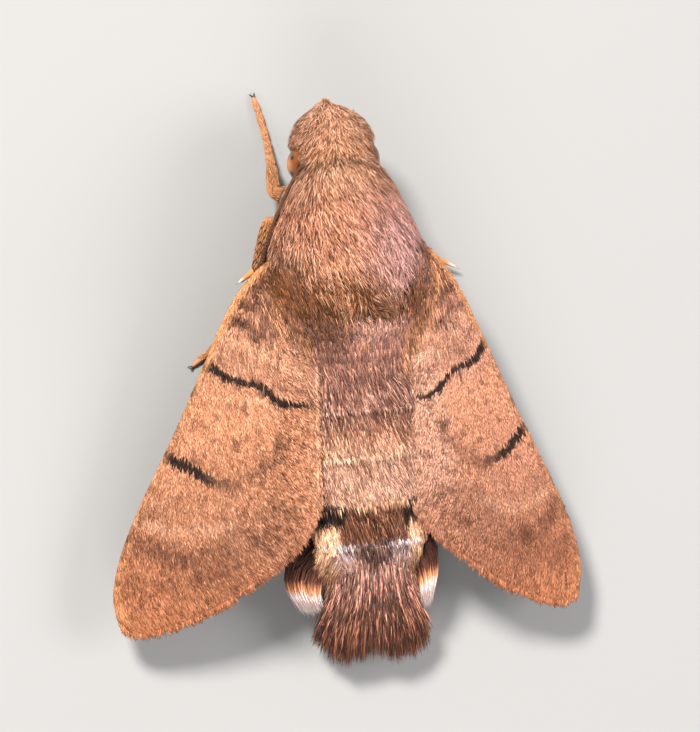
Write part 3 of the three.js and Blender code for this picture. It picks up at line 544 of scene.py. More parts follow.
def smooth_path(points, count):
    """Evenly spaced points along a smooth path."""
    points = np.asarray(points, float)
    steps = np.linalg.norm(np.diff(points, axis=0), axis=1)
    knots = np.concatenate(([0], np.cumsum(steps)))
    fine = curve(np.column_stack((knots, points)), np.linspace(0, knots[-1], count * 8))
    lengths = np.concatenate(([0], np.cumsum(np.linalg.norm(np.diff(fine, axis=0), axis=1))))
    wanted = np.linspace(0, lengths[-1], count)
    return np.stack([np.interp(wanted, lengths, fine[:, k]) for k in range(fine.shape[1])], axis=1)


def unit(vectors):
    return vectors / np.maximum(np.linalg.norm(vectors, axis=-1, keepdims=True), 1e-9)


# The body's surface: its outline is read from a centre line at an angle, 0 on the back, positive to the left
def centre_height(y):
    return curve(CENTRE_LINE, y)[..., 0]


def part_reach(table, y, angle, centre):
    """Distance from the centre line to the outline of one part of the body."""
    half, top, low, mid = np.moveaxis(curve(table, y), -1, 0)
    across, rise = np.sin(angle), np.cos(angle)

    def reach(height):
        a = (across / half) ** 2 + (rise / height) ** 2
        b = rise * (centre - mid) / height**2
        c = ((centre - mid) / height) ** 2 - 1
        return np.maximum((np.sqrt(np.maximum(b * b - a * c, 0)) - b) / a, 0)

    upper = reach(top - mid)
    return np.where(centre + upper * rise >= mid, upper, reach(mid - low))


def ring_relief(y):
    """The rings of the abdomen stand out a little at their hind edges."""
    ends = np.array(RING_ENDS)
    i = np.clip(np.searchsorted(ends, y, side="right") - 1, 0, len(ends) - 2)
    share = np.clip((y - ends[i]) / (ends[i + 1] - ends[i]), 0, 1)
    return RING_STEP * (share**2 - 0.5) * band(y, 13.6, 14.2, 24.0, 25.0)


def body_reach(y, angle):
    """Distance from the centre line to the tips of the coat."""
    centre = centre_height(y)
    total = 0
    for table, first, rounded, last, tapered in BODY_PARTS:
        start = np.clip((first + rounded - y) / rounded, 0, 1)
        end = np.clip((y - last + tapered) / tapered, 0, 1)
        fade = np.sqrt(np.maximum(1 - start**2, 0) * np.maximum(1 - end**2, 0))
        total = total + np.exp(part_reach(table, y, angle, centre) * fade / BODY_BLEND)
    reach = BODY_BLEND * np.log(total) + ring_relief(y)
    reach = reach + SHOULDER * dip(np.abs(angle), 0.75, 0.32) * band(y, 14, 15.5, 21, 23)
    return reach - eye_hollow(reach * np.sin(angle), y, centre + reach * np.cos(angle))


def eye_hollow(x, y, z):
    """How far the coat draws back from an eye at a place."""
    away = np.stack((np.abs(x) - EYE["x"], (y - EYE["y"] - 0.1) / 1.1, (z - EYE["z"]) / 1.2), axis=-1)
    return EYE_HOLLOW * (1 - ramp(np.linalg.norm(away, axis=-1), 0.85, 1.45))


def body_point(y, angle, height):
    """A point at some height over the body's skin."""
    reach = body_reach(y, angle)
    depth = np.minimum(straight(SKIN_DEPTH, y)[..., 0], reach * 0.6)
    length = reach - depth + height
    return np.stack((length * np.sin(angle), y, centre_height(y) + length * np.cos(angle)), axis=-1)


def body_outward(y, angle):
    """The way out of the body's skin."""
    step = 0.05
    along = body_point(y + step, angle, 0) - body_point(y - step, angle, 0)
    round_it = body_point(y, angle + step, 0) - body_point(y, angle - step, 0)
    return unit(np.cross(along, round_it))


# The body's markings, with painted shade in the folds and the collar groove and a painted sheen on the
# thorax's right, for the skin and the coat alike
def body_colour(points, angle):
    x, y, _ = np.moveaxis(points, -1, 0)
    colour = linear(straight(BACK, y))
    wander = 0.35 * noise(points, 0.9, 5)
    over = ramp(np.cos(angle), 0.0, 0.3)

    # The right of the thorax is pinker, partly its own pink and partly a painted sheen of the light from the
    # right, and the hind corners over the wing roots are olive brown
    pink_and_sheen = ramp(-x + wander, -0.8, 2.8) * band(y, 4, 7.5, 9, 11.6)
    colour = blend(colour, PINK_AND_SHEEN, 0.75 * pink_and_sheen * over)
    colour = corner_shade(colour, points[..., :2], wander, 0.82 * over)
    # The parting at the hind end of the thorax, and the orange point behind it
    nick = 1 - ramp(np.hypot(x, (y - 11.5) * 1.3), 0.12, 0.42)
    colour = blend(colour, BLACK, 0.75 * nick * over)
    spot = 1 - ramp(np.hypot(x + 0.03, (y - 13.85) * 0.7), 0.1, 0.3)
    colour = blend(colour, SPOT_ORANGE, 0.7 * spot * over)
    # Shade in the groove between head and collar
    colour = blend(colour, COLLAR, 0.55 * dip(y - 0.12 * np.abs(x), 3.45, 0.22) * over)
    # Painted shade in the folds between the rings
    for place, strength in FOLDS:
        fold = dip(y + 0.05 * wander, place, 0.09)
        colour = blend(colour, FOLD_SHADE, strength * fold * over)
    return side_colours(colour, points, angle, wander)


def corner_shade(colour, flat, wander, strength):
    """The olive brown of the hind corners of the thorax, over the wing roots."""
    for corner, reach in CORNERS:
        near = 1 - ramp(line_distance(flat, corner) + 0.5 * wander, 0.1, reach)
        colour = blend(colour, OLIVE, strength * near)
    return colour


def side_colours(colour, points, angle, wander):
    """The cream and black patches beside the dark ring, the tan flanks, and the pale underside."""
    x, y, _ = np.moveaxis(points, -1, 0)
    aside = np.abs(x)
    passed = ramp(y + 0.4 * wander, 22.35, 22.75)
    black = ramp(aside + 0.3 * wander, 1.45, 1.75) * (1 - ramp(aside, 2.9, 3.2))
    black = black * ramp(y + 0.25 * aside, 21.9, 22.1) * (1 - passed)
    colour = blend(colour, BLACK, 0.95 * black)
    cream = ramp(aside + 0.25 * wander, 1.75, 2.05) * (1 - ramp(aside, 2.95, 3.2))
    cream = cream * passed * (1 - ramp(y, 23.95, 24.5))
    # The cream is the moth's own; the factor after it paints the patches brighter, painted light against the
    # shade on the sideways flank
    colour = blend(colour, CREAM, 0.97 * cream) * (1 + 1.3 * cream)[..., None]
    colour = blend(colour, GOLD, 0.8 * ramp(aside, 1.9, 2.5) * band(y, 24.2, 24.9, 25.8, 26.8))
    colour = blend(colour, BLACK, 0.85 * dip(x, -0.06, 0.1) * dip(y, 27.2, 0.4))
    for low, high in FLANK_PATCHES:
        flank = ramp(aside, 2.6, 3.2) * band(y, low, low + 0.3, high - 0.3, high)
        colour = blend(colour, FLANK_TAN, 0.45 * flank)
    pale_edge = dip(y, 24.05, 0.3) * band(np.abs(x - 0.15), 0.9, 1.1, 2.5, 2.8)
    colour = blend(colour, PALE_EDGE, 0.9 * pale_edge)
    half = 1.0 - 0.45 * (y - 24)
    centre = band(y, 23.9, 24.05, 24.8, 26.0) * (1 - ramp(aside + 0.3 * wander, half - 0.3, half + 0.1))
    colour = blend(colour, RUMP_DARK, 0.9 * centre)
    edge = -0.35 + 0.1 * ramp(y, 4, 9) - 0.2 * ramp(y, 13, 15)
    under = 1 - ramp(np.cos(angle) + 0.15 * wander, edge - 0.2, edge + 0.2)
    colour = blend(colour, straight(BELLY, y), under)
    return colour * (1 + 0.13 * mottle(points, 0.7, 17))[..., None]


# Meshes
def mesh_object(name, points, faces, colours, uvs, face_uvs=None):
    """A mesh from arrays of points, triangles, point colours and places on the unwrap."""
    face_uvs = faces if face_uvs is None else face_uvs
    mesh = bpy.data.meshes.new(name)
    mesh.vertices.add(len(points))
    mesh.vertices.foreach_set("co", ((points + ORIGIN) * MM).astype(np.float32).ravel())
    mesh.loops.add(faces.size)
    mesh.loops.foreach_set("vertex_index", faces.astype(np.int32).ravel())
    mesh.polygons.add(len(faces))
    mesh.polygons.foreach_set("loop_start", np.arange(0, faces.size, 3, dtype=np.int32))
    mesh.polygons.foreach_set("use_smooth", np.ones(len(faces), dtype=bool))
    attribute = mesh.color_attributes.new("Coat", "FLOAT_COLOR", "POINT")
    rgba = np.column_stack((within_range(colours) / LIGHT, np.ones(len(points))))
    attribute.data.foreach_set("color", rgba.astype(np.float32).ravel())
    layer = mesh.uv_layers.new(name="OFBake")
    layer.data.foreach_set("uv", uvs[face_uvs.ravel()].astype(np.float32).ravel())
    mesh.update(calc_edges=True)
    made = bpy.data.objects.new(name, mesh)
    bpy.context.collection.objects.link(made)
    return made


def finished(made, material, replaced=()):
    """Gives a piece its material, its body and the solids that it stands for."""
    made.data.materials.append(material)
    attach(made, "root")
    if replaced:
        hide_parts(*replaced)


def grid_faces(rows, columns, wrap):
    """Triangles of a grid of points, and the same for its places on the unwrap."""
    across = columns if wrap else columns - 1
    i, k = np.meshgrid(np.arange(rows - 1), np.arange(across), indexing="ij")
    i, k = i.ravel(), k.ravel()
    after = (k + 1) % columns

    def quads(width, nxt):
        a, b, c, d = i * width + k, i * width + nxt, (i + 1) * width + nxt, (i + 1) * width + k
        return np.concatenate((np.column_stack((a, b, c)), np.column_stack((a, c, d))))

    return quads(columns, after), quads(columns + 1 if wrap else columns, k + 1)


def tube_object(name, rings, colours, unwrap=(0, 0, 1, 1)):
    """A closed skin over rings of points, whose first and last ring are closed off at their middles."""
    rows, columns, _ = rings.shape
    faces, face_uvs = grid_faces(rows, columns, True)
    points = rings.reshape(-1, 3)
    ends = np.array([rings[0].mean(axis=0), rings[-1].mean(axis=0)])
    hubs = len(points) + np.arange(2)
    round_it = np.arange(columns)
    after = (round_it + 1) % columns
    last = (rows - 1) * columns
    first_cap = np.column_stack((np.full(columns, hubs[0]), after, round_it))
    last_cap = np.column_stack((np.full(columns, hubs[1]), last + round_it, last + after))
    low_u, low_v, high_u, high_v = unwrap
    u = np.linspace(low_u, high_u, columns + 1)
    v = np.linspace(low_v, high_v, rows)
    uvs = np.stack(np.meshgrid(u, v), axis=-1).reshape(-1, 2)
    width = columns + 1
    first_uvs = np.column_stack((round_it, round_it + 1, round_it))
    last_uvs = np.column_stack((round_it, round_it, round_it + 1)) + (rows - 1) * width
    end_colours = np.array([colours[0].mean(axis=0), colours[-1].mean(axis=0)])
    return mesh_object(
        name,
        np.concatenate((points, ends)),
        np.concatenate((faces, first_cap, last_cap)),
        np.concatenate((colours.reshape(-1, 3), end_colours)),
        uvs,
        np.concatenate((face_uvs, first_uvs, last_uvs)),
    )


def swept_rings(path, radii, sides=14, tall=1.0, across=None):
    """Rings round a path; tall is the height of a ring over its width."""
    path = np.asarray(path, float)
    ahead = unit(np.gradient(path, axis=0))
    across = unit(np.cross(ahead, UP)) if across is None else np.tile(across, (len(path), 1))
    over = np.cross(across, ahead)
    angle = np.arange(sides)[:, None] / sides * 2 * math.pi
    ring = across[:, None] * np.cos(angle) + tall * over[:, None] * np.sin(angle)
    return path[:, None] + np.asarray(radii)[:, None, None] * ring


def on_tube(tube, at, angle, height, tall=1.0):
    """Points over a tube and the ways out of it there; tube is its path, the places of that, and radii."""
    path, places, radius = tube
    at = np.clip(at, 0, 1)

    def read(table):
        return np.stack([np.interp(at, places, column) for column in table.T], axis=-1)

    ahead = unit(read(np.gradient(path, axis=0)))
    across = unit(np.cross(ahead, UP))
    over = np.cross(across, ahead)
    cos, sin = np.cos(angle)[:, None], np.sin(angle)[:, None]
    size = (np.interp(at, places, radius) + height)[:, None]
    return read(path) + size * (across * cos + tall * over * sin), across * cos + over * sin


# Tufts: each is a closed tapered form along a path of its own, from its root to its tip
def stations(place, steps):
    """Paths of tufts; place gives a point on each path for one step, a share of its length and a height."""
    return np.stack([place(*step) for step in steps], axis=1)


def tuft_arrays(paths, outward, width, flat, colours, unwrap, sides=3, shape=(0.7, 1.0)):
    """Points, triangles, colours and unwrap of tufts; colours has those of the roots and of the tips."""
    count, length, _ = paths.shape
    rings = length - 1
    ahead = unit(np.gradient(paths, axis=1))
    across = unit(np.cross(ahead, np.broadcast_to(outward, (count, 3))[:, None]))[:, :-1, None]
    over = np.cross(across, ahead[:, :-1, None])
    angle = np.arange(sides)[:, None] / sides * 2 * math.pi + math.pi / 2
    profile = np.interp(np.linspace(0, 1, rings), np.linspace(0, 1, len(shape)), shape)
    wide = np.asarray(width)[:, None, None, None] / 2 * profile[:, None, None]
    body = paths[:, :-1, None] + wide * (across * np.cos(angle) + flat * over * np.sin(angle))
    points = np.concatenate((body.reshape(count, -1, 3), paths[:, -1:]), axis=1)
    share = np.append(np.repeat(np.arange(rings) / rings, sides), 1.0)[:, None]
    shades = colours[0][:, None] * (1 - share) + colours[1][:, None] * share
    turn = np.append(np.tile(np.arange(sides) / sides - 0.5, rings), 0)
    uvs = unwrap[:, None] + PATCH * np.column_stack((turn, share[:, 0] - 0.5))
    faces = tuft_faces(rings, sides)
    per_tuft = rings * sides + 1
    all_faces = (faces + (np.arange(count) * per_tuft)[:, None, None]).reshape(-1, 3)
    return points.reshape(-1, 3), all_faces, shades.reshape(-1, 3), uvs.reshape(-1, 2)


def tuft_faces(rings, sides):
    """Triangles of one tuft, whose last point is its tip."""
    faces = [(0, k, k + 1) for k in range(1, sides - 1)]
    for r in range(rings - 1):
        for k in range(sides):
            a, b = r * sides + k, r * sides + (k + 1) % sides
            faces += [(a, b + sides, b), (a, a + sides, b + sides)]
    last = (rings - 1) * sides
    faces += [(last + k, rings * sides, last + (k + 1) % sides) for k in range(sides)]
    return np.array(faces)


def tuft_object(name, *parts):
    """One piece of coat from several sets of tufts."""
    starts = np.cumsum([0] + [len(part[0]) for part in parts])
    points, faces, colours, uvs = zip(*parts)
    faces = [part + start for part, start in zip(faces, starts)]
    return mesh_object(name, *(np.concatenate(group) for group in (points, faces, colours, uvs)))


def lock_shade(places, random, spread):
    """Brightness of tufts, which differ one by one and lock by lock."""
    locks = LOCK_CONTRAST * spread * noise(places, LOCK_SIZE, 57)
    return np.exp(random.normal(-0.06, spread, len(places)) + locks)[:, None]


def tuft_colours(colour, places, random, spread, root=0.14, tip=1.4):
    """Root and tip colours of tufts: dark roots as painted shade among the tufts, rich dark tufts, and pale
    tips on the brightest ones as painted highlights.
    """
    shade = lock_shade(places, random, spread)
    warm = 1 + np.array((0.02, 0.0, -0.03)) * random.normal(0, 1, (len(colour), 1))
    rich = colour ** (1 + 0.4 * (1 - np.minimum(shade, 1))) * shade * warm
    # Painted highlights: the brightest tufts get pale tips
    pale = 0.75 * random.uniform(0.2, 1, len(colour)) * ramp(shade[:, 0], 1.0, 1.9)
    pale = pale * ramp(colour.max(axis=1), 0.1, 0.45)
    # Dark roots are painted shade among the tufts; colours brighter than 1, from the painted-light cream
    # patches, keep brighter roots
    bright = 0.45 * ramp(colour.max(axis=1), 1.0, 1.8)[:, None]
    return within_range(rich * (root + bright)), within_range(blend(rich * tip, HAIR_HIGHLIGHT, pale))


# Materials
def set_inputs(node, values):
    for name, value in values.items():
        node.inputs[name].default_value = value


def coat_material(name, roughness, grain, grain_size, bump, sheen):
    """A finish that takes its colour from the piece, with a fine grain in its colour, height and gloss."""
    material = bpy.data.materials.new(name)
    material.use_nodes = True
    nodes, links = material.node_tree.nodes, material.node_tree.links
    shader = nodes["Principled BSDF"]
    set_inputs(shader, {"Sheen Weight": sheen, "Sheen Roughness": 0.45, "Specular IOR Level": 0.12})
    colour = nodes.new("ShaderNodeAttribute")
    colour.attribute_name = "Coat"
    place = nodes.new("ShaderNodeTexCoord")
    texture = nodes.new("ShaderNodeTexNoise")
    set_inputs(texture, {"Scale": 1 / (grain_size * MM), "Detail": 3})
    shade = nodes.new("ShaderNodeMapRange")
    set_inputs(shade, {"From Min": 0.3, "From Max": 0.7, "To Min": 1 - grain, "To Max": 1 + grain})
    tint = nodes.new("ShaderNodeVectorMath")
    tint.operation = "SCALE"
    gloss = nodes.new("ShaderNodeMapRange")
    set_inputs(gloss, {"To Min": roughness - 0.1, "To Max": roughness + 0.1})
    relief = nodes.new("ShaderNodeBump")
    set_inputs(relief, {"Strength": bump, "Distance": grain_size * MM})
    for start, leaving, end, entering in (
        (place, "Object", texture, "Vector"),
        (texture, "Fac", shade, "Value"),
        (colour, "Color", tint, "Vector"),
        (shade, "Result", tint, "Scale"),
        (tint, "Vector", shader, "Base Color"),
        (texture, "Fac", gloss, "Value"),
        (gloss, "Result", shader, "Roughness"),
        (texture, "Fac", relief, "Height"),
        (relief, "Normal", shader, "Normal"),
    ):
        links.new(start.outputs[leaving], end.inputs[entering])
    return material


def add_facets(material):
    """Gives the eyes a gloss over rows of tiny facets."""
    nodes, links = material.node_tree.nodes, material.node_tree.links
    set_inputs(nodes["Principled BSDF"], {"Coat Weight": 0.6, "Coat Roughness": 0.12})
    cells = nodes.new("ShaderNodeTexVoronoi")
    set_inputs(cells, {"Scale": 1 / (FACET * MM)})
    relief = nodes["Bump"]
    set_inputs(relief, {"Strength": 0.35, "Distance": FACET * MM})
    relief.invert = True
    links.new(nodes["Texture Coordinate"].outputs["Object"], cells.inputs["Vector"])
    links.new(cells.outputs["Distance"], relief.inputs["Height"])


def make_materials():
    made = {name: coat_material(name, *finish) for name, finish in FINISHES.items()}
    add_facets(made["eye"])
    return made


# Body
def body_skin(material):
    """The closed skin under the coat of head, thorax and abdomen."""
    rings, sides = SKIN_STEPS
    first, last = SKIN_ENDS
    share = np.linspace(0, 1, rings)
    y = first + (last - first) * (share - 0.045 * np.sin(2 * math.pi * share))
    angle = -math.pi + 2 * math.pi * np.arange(sides) / sides
    yy, aa = np.meshgrid(y, angle, indexing="ij")
    rings = body_point(yy, aa, 0)
    unwrap = (0, y[0] / BODY_LENGTH, 1, y[-1] / BODY_LENGTH)
    # The skin is a quarter as bright as the coat's colours: painted shade in the gaps among the tufts
    made = tube_object("body_skin", rings, body_colour(rings, aa) * 0.25, unwrap)
    finished(made, material, FLESH)


def body_roots(count, first, last, seed):
    """Places for tufts, spread evenly over a stretch of the body, and thinner on its hidden underside."""
    share, turn = spread_pairs(count, seed)
    y = np.linspace(first, last, 200)
    filled = np.cumsum(body_reach(y, np.full_like(y, 0.6)))
    angle = math.pi * (2 * turn - 1)
    return np.interp(share, filled / filled[-1], y), angle - 0.42 * np.sin(angle)


def body_unwrap(angle, y):
    """Places on the unwrap of the body's skin."""
    return np.column_stack((angle / (2 * math.pi) + 0.5, y / BODY_LENGTH))


def eye_clear(points, margin):
    """True where a point is clear of both eyes."""
    clear = np.ones(points.shape[:-1], dtype=bool)
    for side in SIDES.values():
        middle = np.array((side * EYE["x"], EYE["y"], EYE["z"]))
        clear &= np.linalg.norm(points - middle, axis=-1) > EYE["radius"] + margin
    return clear


def lie(y, angle, x, random):
    """Which way the coat lies: 0 is straight back, positive towards the moth's left."""
    place = np.stack((x, y, angle * 2), axis=-1)
    head = 0.3 * x + 0.5 * noise(place, 0.45, 23) + random.normal(0, 0.32, len(y))
    behind_head = ramp(y, 2.9, 4.6)
    behind_thorax = ramp(y, 13.0, 14.5)
    side = np.sin(angle)
    inward = ramp(x, -2.2, 0.4) * (1 - (1 - ramp(y, 4.5, 6.5)) * ramp(x, 0.8, 2.2))
    thorax = 0.04 - 0.42 * inward - 0.3 * side * np.abs(side) * ramp(y, 7, 11)
    thorax = thorax + 0.16 * noise(place, 0.8, 24) + random.normal(0, 0.19, len(y))
    near = np.exp(-((x / 0.75) ** 2 + ((y - 11.1) / 0.85) ** 2))
    parting = 1.5 * np.clip(x / 0.35, -1, 1) * near * np.where(y < 11.5, 1, -0.8)
    abdomen = -0.24 + 0.12 * noise(place, 0.8, 25) + random.normal(0, 0.12, len(y))
    front = behind_head * (1 - behind_thorax)
    return head * (1 - behind_head) + thorax * front + parting + abdomen * behind_thorax


def body_coat(name, hair, count, first, last, seed, material):
    """Tufts over a stretch of the body; hair has tables of their length, lift and width along it."""
    random = np.random.default_rng(seed)
    y, angle = body_roots(count, first, last, seed)
    root = body_point(y, angle, 0)
    clear = eye_clear(root, 0.02)
    y, angle, root = y[clear], angle[clear], root[clear]
    heading = lie(y, angle, root[:, 0], random)
    wisp = random.uniform(0, 1, len(y)) < WISP_SHARE
    long, high, wide = (
        straight(hair[key], y)[:, 0] * random.uniform(low, most, len(y)) * np.where(wisp, of_wisps, 1)
        for key, low, most, of_wisps in HAIR_RANGES
    )
    high = np.minimum(high, straight(SKIN_DEPTH, y)[:, 0] + TOP_STRAY)
    reach = np.maximum(body_reach(y, angle), 0.6)

    def point(share, rise):
        ahead = long * share
        return body_point(y + ahead * np.cos(heading), angle + ahead * np.sin(heading) / reach, high * rise)

    paths = stations(point, ((0, -0.3), (0.5, 0.7), (1, 1.0)))
    keep = eye_clear(paths[:, 2], 0.03) & eye_clear(paths[:, 1], 0.03)
    y, angle, paths, wide = y[keep], angle[keep], paths[keep], wide[keep]
    colours = tuft_colours(body_colour(paths[:, 1], angle), paths[:, 0], random, hair["spread"])
    outward = body_outward(y, angle)
    tufts = tuft_arrays(paths, outward, wide, hair["flat"], colours, body_unwrap(angle, y))
    finished(tuft_object(name, tufts), material)


def back_height(x, y):
    """Level of the top of the coat over a place on the body, or far below where there is none."""
    best = np.full_like(x, -9.0)
    for table, first, _, last, tapered in BODY_PARTS:
        half, top, _, mid = np.moveaxis(curve(table, y), -1, 0)
        inside = np.clip(1 - (x / half) ** 2, 0, 1)
        end = np.clip((y - last + tapered) / tapered, 0, 1)
        centre = centre_height(y)
        level = centre + (mid + (top - mid) * np.sqrt(inside) - centre) * np.sqrt(1 - end**2)
        best = np.maximum(best, np.where((inside > 0) & (y > first), level, -9.0))
    return best


def wing_level(x, y):
    """Level of the upper face of the fore wing over a place, or far below where there is none."""
    best = np.full_like(x, -9.0)
    for name, side in SIDES.items():
        size = WING_SET[name]
        sweep = math.radians(size["sweep"])
        out, along = side * x - size["x"], y - size["y"]
        a = out * math.sin(sweep) + along * math.cos(sweep)
        back = along * math.sin(sweep) - out * math.cos(sweep)
        front, hind = (straight(line, a)[..., 0] * size["spread"] for line in (FORE_COSTA, FORE_INNER))
        level = wing_height(a, back) + size["lift"] + wing_top(FORE_TOP, (back - front) / (hind - front))
        best = np.maximum(best, np.where((a > 0.3) & (back < hind) & (back > front + 0.1), level, -9.0))
    return best


def flow_level(x, y):
    """Level of one smooth surface over the thorax, the wing roots and the first ring."""
    back = back_height(x, y)
    around = (back_height(x, y - 0.5) + back + back_height(x, y + 0.5)) / 3
    levels = np.stack((np.where(around > 0, around, back), wing_level(x, y)))
    highest = levels.max(axis=0)
    return highest + FLOW_SOFTNESS * np.log(np.exp((levels - highest) / FLOW_SOFTNESS).sum(axis=0))


def flow_colour(points):
    """Colours of the long hair: those of the body, then those of the wing root."""
    x, y, z = np.moveaxis(points, -1, 0)
    over_wing = ramp(wing_level(x, y) - back_height(x, y), -0.5, 0.3)
    colour = blend(body_colour(points, np.arctan2(x, z - centre_height(y))), WING_ROOT, over_wing)
    return corner_shade(colour, points[:, :2], 0.35 * noise(points, 0.9, 5), 0.85 * over_wing)


def cape_places(random):
    """Roots of the long hair: along the hind corners of the thorax, and across its middle."""
    turn, along = spread_pairs(CAPE_TUFTS * 4, 46)
    (right, left), (first, last) = CAPE_AREA
    x, y = right + (left - right) * turn, first + (last - first) * along
    flat = np.column_stack((x, y))
    corners = np.minimum(line_distance(flat, LEFT_CORNER), line_distance(flat, RIGHT_CORNER))
    chance = random.uniform(0, 1, len(x))
    middle = (np.abs(x) < 2.4) & (y > 11.4 + 0.9 * chance) & (y < 13.1 + 1.1 * chance)
    kept = (corners < 0.25 + 0.85 * chance) | middle
    kept &= (flow_level(x, y) > 0) & (np.hypot(x, y - PARTING) > 0.45)
    return x[kept][:CAPE_TUFTS], y[kept][:CAPE_TUFTS]


def cape_coat(material):
    """The long hair that flows from the thorax over the wing roots and the first ring."""
    random = np.random.default_rng(45)
    x, y = cape_places(random)
    count = len(x)
    heading = -0.12 - 0.16 * ramp(x, -1.5, 2.5) + random.normal(0, 0.13, count)
    long = random.uniform(0.8, 1.7, count)
    start = flow_level(x, y)

    def point(share, rise):
        there = (x + share * long * np.sin(heading), y + share * long * np.cos(heading))
        level = flow_level(*there)
        level = np.where(level > 0, level, start - 0.5 * share * long)
        return np.stack((*there, level + rise * random.uniform(0.5, 1.3, count)), axis=-1)

    paths = stations(point, ((0, -0.3), (0.5, 0.12), (1, 0.1)))
    spark = lock_shade(paths[:, 0], random, 0.36)
    width = random.uniform(0.055, 0.095, count)
    # Dark roots and brighter tips: painted shade among the long hair
    colours = (flow_colour(paths[:, 0]) * 0.2 * spark, within_range(flow_colour(paths[:, 2]) * 1.35 * spark))
    outward = unit(np.column_stack((0.1 * x, np.full(count, 0.25), np.ones(count))))
    unwrap = body_unwrap(np.arctan2(x, paths[:, 0, 2] - centre_height(y)), y)
    tufts = tuft_arrays(paths, outward, width, 0.6, colours, unwrap)
    finished(tuft_object("thorax_cape", tufts), material)


def ring_teeth(material):
    """The flat scales along the hind edge of each ring, in one or two layers."""
    random = np.random.default_rng(61)
    rows = [teeth_row(random, layer, *row) for layers, *row in RING_TEETH for layer in range(layers)]
    finished(tuft_object("abdomen_ring_scales", *rows), material)


def teeth_row(random, layer, count, place, length, width, past, pale):
    """One layer of the scales along a ring; past is how far their tips stand out behind its edge."""
    turn = (np.arange(count) + layer / 2 + random.uniform(-0.35, 0.35, count)) / count
    angle = turn * 2 * math.pi - math.pi
    tip = place + past * random.uniform(0.3, 1.2, count) - 0.12 * layer
    lean = -0.14 + random.normal(0, 0.08, count)
    reach = body_reach(np.full(count, place - 0.3), angle)

    def point(share, rise):
        ahead = length * (1 - share)
        edge = np.minimum(tip - ahead, place - 0.02)
        there = body_point(edge, angle - ahead * np.sin(lean) / reach, rise + 0.03 * layer)
        there[:, 1] = tip - ahead
        return there

    paths = stations(point, ((0, 0.0), (0.5, 0.12), (1, 0.14)))
    colour = teeth_colour(place, paths[:, 2], angle, pale)
    colours = tuft_colours(colour, paths[:, 0], random, 0.5, root=0.2, tip=1.25)
    outward = body_outward(np.full(count, place - 0.2), angle)
    wide = width * random.uniform(0.7, 1.2, count)
    unwrap = body_unwrap(angle, tip)
    return tuft_arrays(paths, outward, wide, 0.35, colours, unwrap, sides=4, shape=(0.8, 0.9))


def teeth_colour(place, points, angle, pale):
    """Pale tips with the dark middle of the last row and the orange sides of the one before it."""
    colour = np.broadcast_to(linear(pale), points.shape)
    if place > 23:
        across = np.abs(points[:, 0] - 0.15)
        colour = blend(colour, TEETH_DARK, 0.9 * (1 - ramp(across, 0.85, 1.15)))
        colour = blend(colour, CREAM, ramp(across, 2.55, 2.85))
    elif place > 21:
        colour = blend(colour, TEETH_ORANGE, ramp(np.abs(points[:, 0]), 1.7, 2.2))
    under = 1 - ramp(np.cos(angle), -0.4, 0.0)
    return blend(colour, straight(BELLY, np.full(len(points), place)), under)


# Tail
def bent_vanes(root, via, tip, share):
    """Paths that bend from a root past a middle point to a tip, read at some shares of their length."""
    root, via, tip = root[:, None], via[:, None], tip[:, None]
    share = np.broadcast_to(share, (len(root), np.shape(share)[-1]))[..., None]
    return root * (1 - share) ** 2 + 2 * via * share * (1 - share) + tip * share**2


def vane_set(paths, outward, width, colours, unwrap):
    """Long flat scales, widest in their middle."""
    return tuft_arrays(paths, unit(np.asarray(outward)), width, 0.4, colours, unwrap, shape=VANE_SHAPE)


def recoloured(part, table, spark, sides=3):
    """Replaces the colours of a set of tufts by a list of screen colours from root to tip."""
    points, faces, _, uvs = part
    last = len(table) - 1
    colours = linear(table)[np.append(np.repeat(np.arange(last), sides), last)]
    return points, faces, (colours * spark[:, None, None]).reshape(-1, 3), uvs


def flank_vanes(name, seed):
    """The tuft that stands out from each flank: dark at its root, orange, then white at its tip."""
    side, size = SIDES[name], FLANK_TUFT[name]
    random = np.random.default_rng(seed)
    count = FLANK_VANES
    inward, level = spread_pairs(count, seed)

    def between(ends):
        return ends[0] + (ends[1] - ends[0]) * inward

    root_z, tip_z = straight(FLANK_LEVELS, level).T
    root_y = 23.2 + 0.7 * inward + random.uniform(-0.3, 0.8, count)
    via_x = between(size["bulge"]) - np.abs(random.normal(0, 0.3, count))
    tip_x = between(size["tip"]) + random.normal(0, 0.09, count)
    tip_y = size["reach"] - 0.35 * (1 - inward) + random.uniform(-0.6, 0.2, count) - 0.3 * (1 - level)
    root = np.column_stack((side * between(FLANK_ROOT), root_y, root_z))
    via = np.column_stack((side * via_x, 0.5 * (root_y + tip_y) - 0.4, (root_z + tip_z) / 2 + 0.25))
    tip = np.column_stack((side * tip_x, tip_y, tip_z))
    # The vanes' points are closest together where the dark part turns orange and white
    band = 25.85 + 0.35 * inward + random.normal(0, 0.1, count)
    places = [(band + step - root_y) / (tip_y - root_y) for step in (-0.45, 0, 0.3)]
    share = np.stack([0 * band, 0.3 + 0 * band, *places, 1 + 0 * band], axis=1)
    share = np.maximum.accumulate(np.clip(share, 0, 1) + np.arange(6) * 0.004, axis=1)
    width = random.uniform(0.06, 0.12, count)
    unwrap = np.column_stack((0.5 + side * (0.15 + 0.1 * inward), 0.8 + 0.04 * level))
    blank = np.zeros((2, count, 3))
    part = vane_set(bent_vanes(root, via, tip, share), (0.6 * side, 0.0, 0.8), width, blank, unwrap)
    return recoloured(part, FLANK_BANDS, lock_shade(root, random, 0.25)[:, 0] * 1.3)


